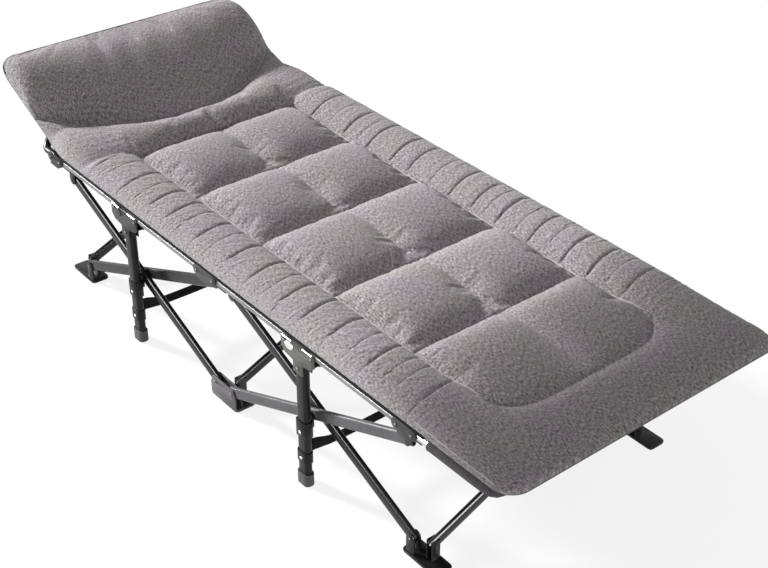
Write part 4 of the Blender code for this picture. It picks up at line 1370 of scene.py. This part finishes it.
# %% [markdown]
# ## Rows of stitches
# A pale thread shows along the inner seams, at the foot end's edges and round the pillow. Single stitches
# would be thousands of small pieces, so each row is one thin cord. It has to lie on a surface that the
# solver has shaped, so a ray is cast down onto the cover at each of its points.

# %% Rows of stitches
STITCH_RADIUS = 0.0011
EDGE_SEAM_MARGIN = 0.0040
PILLOW_SEAM_MARGIN = 0.0016
PILLOW_SEAM_Y = 0.325


def stitches(name, cover, places):
    """A pale line of thread laid on a cover along a line seen from above."""
    corners = [vertex.co for vertex in cover.data.vertices]
    tree = BVHTree.FromPolygons(corners, [face.vertices for face in cover.data.polygons])
    path = []
    for x, y in places:
        top = tree.ray_cast(Vector((x, y, 1.0)), Vector((0, 0, -1)))[0]
        path.append((x, y, top.z + STITCH_RADIUS / 2))
    thread = finished(cord(name, path, STITCH_RADIUS, sides=1), THREAD, "bed")
    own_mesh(thread)
    print(name, len(path), "points")


seam_run = np.linspace(TUFT_SEAMS[0] + 0.002, MID_X + 0.70, 320)
edge_run = np.linspace(MID_X + 0.68, FOOT_END - CORNER, 50)
edge_seam_y = BED_HALF_WIDTH - EDGE_SEAM_MARGIN
for side_name, side in SIDES.items():
    stitches(f"inner_seam_{side_name}", pad, [(float(x), side * SEAM_Y) for x in seam_run])
    stitches(f"edge_seam_{side_name}", pad, [(float(x), side * edge_seam_y) for x in edge_run])
neck_run = np.linspace(-PILLOW_SEAM_Y, PILLOW_SEAM_Y, 220)
neck_line = [(float(pillow_edge(y)) - PILLOW_SEAM_MARGIN, float(y)) for y in neck_run]
stitches("pillow_seam", pillow, neck_line)

# %% [markdown]
# ## Sleeves
# The arms at both ends run in sleeves sewn below the base cloth. In the folded cot each arm swings away
# with its bracket, so its sleeve rides on the arm. A cord with a radius of its own at each point gives the
# sleeve its round body and lets it taper into the corner of the cloth.

# %% Sleeves round the arms
FOOT_SLEEVE = 0.0132
HEAD_SLEEVE = 0.0145
HEAD_SLEEVE_DROP = 0.0165
MOUTH = 0.0110
SLEEVE_Y = 0.3565
ARM_INNER_Y = 0.325
MOUTH_START, MOUTH_END = 0.7212, 0.7240
SLEEVE_START = (0.722, SLEEVE_Y, RAIL_Z, 1.05)
SLEEVE_TAPER = (
    (0.865, 0.3563, 0.3524, 1.0), (0.880, 0.3556, 0.3536, 0.95), (0.892, 0.3525, 0.3556, 0.75),
    (0.900, 0.3475, 0.3580, 0.50), (0.906, 0.3420, 0.3600, 0.28),
)


def foot_sleeve(side):
    """Path of the sleeve round a foot arm, thinner where it runs into the corner."""
    level = [(float(x), SLEEVE_Y, RAIL_Z, 1.0) for x in np.linspace(0.735, 0.845, 9)]
    for x, y, z, share in (SLEEVE_START, *level, *SLEEVE_TAPER):
        yield MID_X + x, side * y, z, share


def head_sleeve(side):
    """Path of the sleeve round a head arm."""
    for x in np.linspace(-0.780, -0.925, 10):
        x = MID_X + float(x)
        yield x, side * ARM_INNER_Y, CLOTH_UNDER - HEAD_SLEEVE_DROP + float(rise(x)), 1.0


for side_name, side in SIDES.items():
    for end_name, path, radius in (
        ("foot", foot_sleeve(side), FOOT_SLEEVE), ("head", head_sleeve(side), HEAD_SLEEVE),
    ):
        sleeve = cord(f"{end_name}_sleeve_{side_name}", list(path), radius, sides=4)
        finished(sleeve, DARK_CLOTH, f"{end_name}_arm_{side_name}")
    mouth_ends = [(MID_X + x, side * SLEEVE_Y, RAIL_Z) for x in (MOUTH_START, MOUTH_END)]
    mouth = cord(f"sleeve_mouth_{side_name}", mouth_ends, MOUTH, sides=4)
    finished(mouth, BINDING, f"foot_arm_{side_name}")

print("sleeves", 2 * len(SIDES))

# %% [markdown]
# ## Straps
# A webbing strap ties each pair of legs, so that they can't spread. Webbing under light tension hangs a
# few millimetres and twists a little, which a formula gives more simply than a simulation. As the cot
# folds, the legs come together, and the strap moves with the left leg.

# %% Straps between the legs
STRAP_WIDE = 0.022
STRAP_THICK = 0.0016
STRAP_Z = 0.083
STRAP_END = 0.3446
STRAP_CELLS = (90, 4)
STRAP_HANG = 0.004
STRAP_SPREAD = 0.9

for which, leg_x in (("fore", MID_X - BAY), ("aft", MID_X + BAY)):
    strap, i, j = grid_sheet(f"{which}_strap_web", *STRAP_CELLS)
    y = (2 * i / STRAP_CELLS[0] - 1) * STRAP_END
    up = j / STRAP_CELLS[1] - 0.5
    near_leg = smooth(np.abs(y), 0.285, STRAP_END)
    hang = STRAP_HANG * (1 - (y / STRAP_END) ** 2)
    wide = STRAP_WIDE * (1 + STRAP_SPREAD * near_leg * (up > 0))
    z = STRAP_Z - hang + up * wide + STRAP_HANG * near_leg
    x = leg_x + 0.0012 * np.sin(y * 19) * (1 - near_leg) + 0.0015 * up * np.sin(y * 9)
    set_points(strap, np.stack((x, y, z), axis=1))
    modified(strap, "SOLIDIFY", thickness=STRAP_THICK, offset=0)
    smoothed(strap, 40)
    finished(strap, WEBBING, f"{which}_leg_left", [f"{which}_strap"])
    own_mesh(strap)
    print(strap.name, round(2 * STRAP_END, 3), "m long")

# %% [markdown]
# ## Steel
# The scissor tubes, the legs and the rails are cut from flat oval and round tube. The CAD tubes have few
# sides and closed ends. Softening those would round their ends as well, so the tubes are made again with
# finer sections and open ends, at the places that the CAD source gives.

# %% Sections and pivots
TUBE_TALL, TUBE_WIDE = 0.028, 0.013
CROSS_TALL, CROSS_WIDE = 0.026, 0.012
TUBE_OVER = 0.009
RAIL_OVER = 0.007
LEG_WIDE, LEG_DEEP, LEG_CORNER = 0.032, 0.018, 0.0075
INNER_Y, OUTER_Y = 0.3165, 0.3325
LINK = 0.032
LOW, HIGH = 0.042, 0.297
CROSS_PIVOT_Y = BAY - LINK
CROSS_X = 0.0075
RAIL_PIVOT = 0.030
LEG_PIVOT = 0.045
LEG_TOP = 0.318
ROWS = {"head": -2 * BAY, "mid": 0.0, "foot": 2 * BAY}
LEGS = {"fore": -BAY, "aft": BAY}
print("tubes", TUBE_TALL, "x", TUBE_WIDE, "m, legs", LEG_WIDE, "x", LEG_DEEP, "m")


def run_past(start, end, over):
    """Both ends of a tube that runs past its pivots."""
    start, end = Vector(start), Vector(end)
    extra = (end - start).normalized() * over
    return start - extra, end + extra


# %% [markdown]
# ## Scissors
# On each side two tubes cross between the head and middle rows, and two between the middle and foot rows.
# At the head, middle and foot rows two more cross over the width of the cot. They differ only in their
# pivots and their paint, so loops make them all.

# %% Scissor tubes
# The aft outer tubes take the lighter grey copy of the paint, a painted reflection; the fore ones take the
# black.
OUTER_PAINT_AND_REFLECTION = {"fore": BLACK_STEEL, "aft": REFLECTION_GREY_STEEL}


def scissor(node, start, end, across, wide, tall, finish):
    """One flat oval tube in place of its CAD node."""
    start, end = run_past(start, end, TUBE_OVER)
    tube = oval_tube(f"{node}_steel", start, end, across, wide, tall, wide / 2)
    return finished(tube, finish, node, [node])


far = 2 * BAY - LINK
for side_name, side in SIDES.items():
    for which, way in (("fore", -1), ("aft", 1)):
        for kind, plane, low_x, high_x, finish in (
            ("outer", OUTER_Y, LINK, far, OUTER_PAINT_AND_REFLECTION[which]),
            ("inner", INNER_Y, far, LINK, DARK_STEEL),
        ):
            low = (MID_X + way * low_x, side * plane, LOW)
            high = (MID_X + way * high_x, side * plane, HIGH)
            node = f"{which}_{kind}_tube_{side_name}"
            scissor(node, low, high, (0, 1, 0), TUBE_WIDE, TUBE_TALL, finish)
for row, row_x in ROWS.items():
    for kind, sign in (("rising", 1), ("falling", -1)):
        x = MID_X + row_x + sign * CROSS_X
        low, high = (x, -sign * CROSS_PIVOT_Y, LOW), (x, sign * CROSS_PIVOT_Y, HIGH)
        scissor(f"{row}_cross_tube_{kind}", low, high, (1, 0, 0), CROSS_WIDE, CROSS_TALL, CROSS_STEEL)
print("scissor tubes", 4 * len(SIDES) + 2 * len(ROWS))

# %% [markdown]
# ## Rails and arms
# Round rails run from bracket to leg, and round arms run on from the end brackets under the cloth. Rails
# are straight and take the same tube as before, with equal width and height. The head arms bend inwards
# and up, so each is a cord along its own path.

# %% Rails and arms
RAILS = {
    "head_rail": (-2 * BAY + RAIL_PIVOT, -BAY - LEG_PIVOT), "fore_rail": (-RAIL_PIVOT, -BAY + LEG_PIVOT),
    "aft_rail": (RAIL_PIVOT, BAY - LEG_PIVOT), "foot_rail": (2 * BAY - RAIL_PIVOT, BAY + LEG_PIVOT),
}
ARM_PIVOT = 0.014
ARM_DROP = 0.019
ARM_TURN_FROM, ARM_TURN_TO = -0.715, -0.763
ARM_START = 2 * BAY + ARM_PIVOT - RAIL_OVER
FOOT_ARM_END = 0.872


def round_tube(node, start_x, end_x, side, finish):
    """A round tube at the rails' height, in place of its CAD node."""
    start, end = (start_x, side * RAIL_Y, RAIL_Z), (end_x, side * RAIL_Y, RAIL_Z)
    tube = oval_tube(f"{node}_steel", start, end, (0, 1, 0), 2 * RAIL_RADIUS, 2 * RAIL_RADIUS, RAIL_RADIUS)
    finished(tube, finish, node, [node])


def head_arm_path(side):
    """A head arm: level in its bracket, then inwards and up under the cloth."""
    for x in (-ARM_START, *np.linspace(ARM_TURN_FROM, ARM_TURN_TO, 17), *np.linspace(-0.775, -0.915, 8)):
        place = MID_X + float(x)
        inwards = float(smooth(-x, -ARM_TURN_FROM, -ARM_TURN_TO))
        z = max(RAIL_Z, CLOTH_UNDER - ARM_DROP + float(rise(place)))
        yield place, side * (RAIL_Y + (ARM_INNER_Y - RAIL_Y) * inwards), z


for side_name, side in SIDES.items():
    for kind, (hinge_x, end_x) in RAILS.items():
        over = math.copysign(RAIL_OVER, end_x - hinge_x)
        round_tube(f"{kind}_{side_name}", MID_X + hinge_x - over, MID_X + end_x + over, side, RAIL_STEEL)
    round_tube(f"foot_arm_{side_name}", MID_X + ARM_START, MID_X + FOOT_ARM_END, side, BARE_STEEL)
    node = f"head_arm_{side_name}"
    tube = cord(f"{node}_steel", list(head_arm_path(side)), RAIL_RADIUS, sides=6)
    # The head arms take the black paint, not the foot arms' bare steel, so that the strip of arm under the
    # pillow's edge reads dark: painted shade.
    finished(tube, BLACK_STEEL, node, [node])
print("rails and arms", len(SIDES) * (len(RAILS) + 2))

# %% [markdown]
# ## Legs
# Each upright leg is flat oval tube with a black cuff that holds the strap, and a rubber foot. Cuff and
# foot are bands that follow the leg's section a little outside it, so they come from the same tube helper,
# with larger measures and softened rims.

# %% Legs, cuffs and feet
LEG_START = 0.006
CUFF_LOW, CUFF_HIGH, CUFF_WALL = 0.060, 0.086, 0.0025
FOOT_HIGH, FOOT_WALL = 0.029, 0.0034


def sleeve_on_leg(name, x, y, z_low, z_high, wall, finish, body, nodes=()):
    """A rounded band round a leg, with softened rims."""
    band = oval_tube(
        name, (x, y, z_low), (x, y, z_high), (1, 0, 0), LEG_WIDE + 2 * wall, LEG_DEEP + 2 * wall,
        LEG_CORNER + wall, hollow=0.0002,
    )
    modified(band, "BEVEL", width=0.0012, segments=2, limit_method="ANGLE", angle_limit=math.radians(50))
    smoothed(band, 50)
    return finished(band, finish, body, nodes)


for side_name, side in SIDES.items():
    for which, leg_x in LEGS.items():
        x, y, body = MID_X + leg_x, side * RAIL_Y, f"{which}_leg_{side_name}"
        tube = oval_tube(
            f"{body}_steel", (x, y, LEG_START), (x, y, LEG_TOP), (1, 0, 0), LEG_WIDE, LEG_DEEP, LEG_CORNER,
        )
        finished(tube, LEG_STEEL, body, [body])
        sleeve_on_leg(
            f"{body}_cuff", x, y, CUFF_LOW, CUFF_HIGH, CUFF_WALL, PLASTIC, body,
        )
        sleeve_on_leg(
            f"{body}_foot", x, y, 0, FOOT_HIGH, FOOT_WALL, RUBBER, body,
            [f"{which}_leg_foot_{side_name}"],
        )
print("legs", len(SIDES) * len(LEGS))

# %% [markdown]
# ## Plates, brackets and shoes
# The brackets and shoes are moulded and the plates at the legs are pressed, so their edges are soft. Their
# CAD shapes are already right and only too sharp. A copy of each is merged into clean faces, and a small
# bevel softens it. The CAD node's own mesh is left alone.

# %% Pressed plates, brackets and shoes
BRACKET_FINISH = {"head": PLASTIC, "mid": PLATE_GREY, "foot": PLATE_GREY}
SHOE_FINISH = {"head": PLASTIC, "mid": SHOE_GREY, "foot": PLASTIC}
PLATE_FINISH = {"fore": DARK_PLATE, "aft": AFT_OLIVE_PLATE}


def refined(node, finish, body=None, width=0.0007):
    """A CAD node's own shape with softened edges."""
    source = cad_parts[node]
    piece = bpy.data.objects.new(f"{node}_finished", source.data.copy())
    scene.collection.objects.link(piece)
    piece.data.transform(source.matrix_world)
    only(piece)
    bpy.ops.object.mode_set(mode="EDIT")
    bpy.ops.mesh.select_all(action="SELECT")
    bpy.ops.mesh.remove_doubles(threshold=0.00005)
    bpy.ops.mesh.dissolve_limited(angle_limit=math.radians(1))
    bpy.ops.object.mode_set(mode="OBJECT")
    modified(piece, "BEVEL", width=width, segments=2, limit_method="ANGLE", angle_limit=math.radians(40))
    smoothed(piece, 40)
    return finished(piece, finish, body or node, [node])


for side_name, side in SIDES.items():
    for row in ROWS:
        refined(f"{row}_bracket_{side_name}", BRACKET_FINISH[row])
        refined(f"{row}_shoe_{side_name}", SHOE_FINISH[row])
    for which in LEGS:
        refined(f"{which}_leg_collar_{side_name}", PLASTIC)
        plate, leg = f"{which}_leg_bracket_{side_name}", f"{which}_leg_{side_name}"
        refined(plate, PLATE_FINISH[which], body=leg)
print("brackets and shoes", 2 * len(SIDES) * len(ROWS))

# %% [markdown]
# ## Bright parts at the legs
# At each leg the rails' bare ends and a small oval link show bright on the outside of the plate. They are
# thin parts that only catch the light, so short cords and a flattened disc with a softened rim are enough.

# %% Bare ends of the rails and link plates at the legs
PLATE_WALL = 0.0029
PLATE_FACE = RAIL_Y + RAIL_RADIUS + PLATE_WALL
BARE_ENDS = ((-0.050, -0.018), (0.018, 0.050))
BARE_RADIUS, BARE_RISE = 0.0024, 0.0052
LINK_RADIUS, LINK_THICK, LINK_STRETCH = 0.009, 0.0016, 1.6
LINK_PLACE = (-0.028, 0.0006, -0.010)
LINK_FINISH = {"fore": PLATE_GREY, "aft": BARE_STEEL}

for side_name, side in SIDES.items():
    for which, leg_x in LEGS.items():
        body, x = f"{which}_leg_{side_name}", MID_X + leg_x
        bars = []
        for span in BARE_ENDS:
            ends = [(x + end, side * PLATE_FACE, RAIL_Z + BARE_RISE) for end in span]
            bars.append(cord(f"bar_{span[0]}", ends, BARE_RADIUS, sides=3))
        finished(joined(bars, f"bare_ends_{body}"), BARE_STEEL, body)
        link = added(
            bpy.ops.mesh.primitive_cylinder_add, f"link_{body}", vertices=40, radius=LINK_RADIUS,
            depth=LINK_THICK,
        )
        lying = Matrix.Rotation(math.pi / 2, 4, "X") @ Matrix.Diagonal((LINK_STRETCH, 1.0, 1.0, 1.0))
        place = (x + LINK_PLACE[0], side * (PLATE_FACE + LINK_PLACE[1]), RAIL_Z + LINK_PLACE[2])
        put(link, Matrix.Translation(place) @ lying)
        modified(link, "BEVEL", width=0.0005, segments=2, limit_method="ANGLE", angle_limit=math.radians(50))
        smoothed(link, 40)
        finished(link, LINK_FINISH[which], body)
print("bright parts at", len(SIDES) * len(LEGS), "legs")

# %% [markdown]
# ## Rivets
# Every pivot has a domed silver rivet head. Each head is a small squashed sphere with few faces, because
# there are dozens of them, and the heads of one body are joined into one piece.

# %% Rivets
RIVET_DROP = 0.004
TOP_RIVET_DROP = 0.016
CUFF_RIVET_Z = 0.070
COLLAR_RIVET_Z = 0.138
COLLAR_WALL = 0.0032
PINS = {"head": (-ARM_PIVOT, RAIL_PIVOT), "mid": (-RAIL_PIVOT, RAIL_PIVOT), "foot": (-RAIL_PIVOT, ARM_PIVOT)}

for side_name, side in SIDES.items():
    out = (0, side, 0)
    face = side * PLATE_FACE
    for row, row_x in ROWS.items():
        x = MID_X + row_x
        places = [((x + pin, face, RAIL_Z), out) for pin in PINS[row]]
        rivets(f"{row}_bracket_{side_name}", places)
        plane = OUTER_Y if row == "mid" else INNER_Y
        shoe_face = side * (plane + TUBE_WIDE / 2 + PLATE_WALL)
        pivots = {"head": (LINK,), "mid": (-LINK, LINK), "foot": (-LINK,)}[row]
        places = [((x + pivot, shoe_face, LOW), out) for pivot in pivots]
        rivets(f"{row}_shoe_{side_name}", places)
    for which, leg_x in LEGS.items():
        x, body = MID_X + leg_x, f"{which}_leg_{side_name}"
        leg_face = side * (RAIL_Y + LEG_DEEP / 2)
        places = [((x + way * LEG_PIVOT, face, RAIL_Z - RIVET_DROP), out) for way in (-1, 1)]
        places.append(((x, face, LEG_TOP - TOP_RIVET_DROP), out))
        places.append(((x, leg_face + side * CUFF_WALL, CUFF_RIVET_Z), out))
        rivets(body, places)
        collar_place = (x, leg_face + side * COLLAR_WALL, COLLAR_RIVET_Z)
        rivets(f"{which}_leg_collar_{side_name}", [(collar_place, out)])
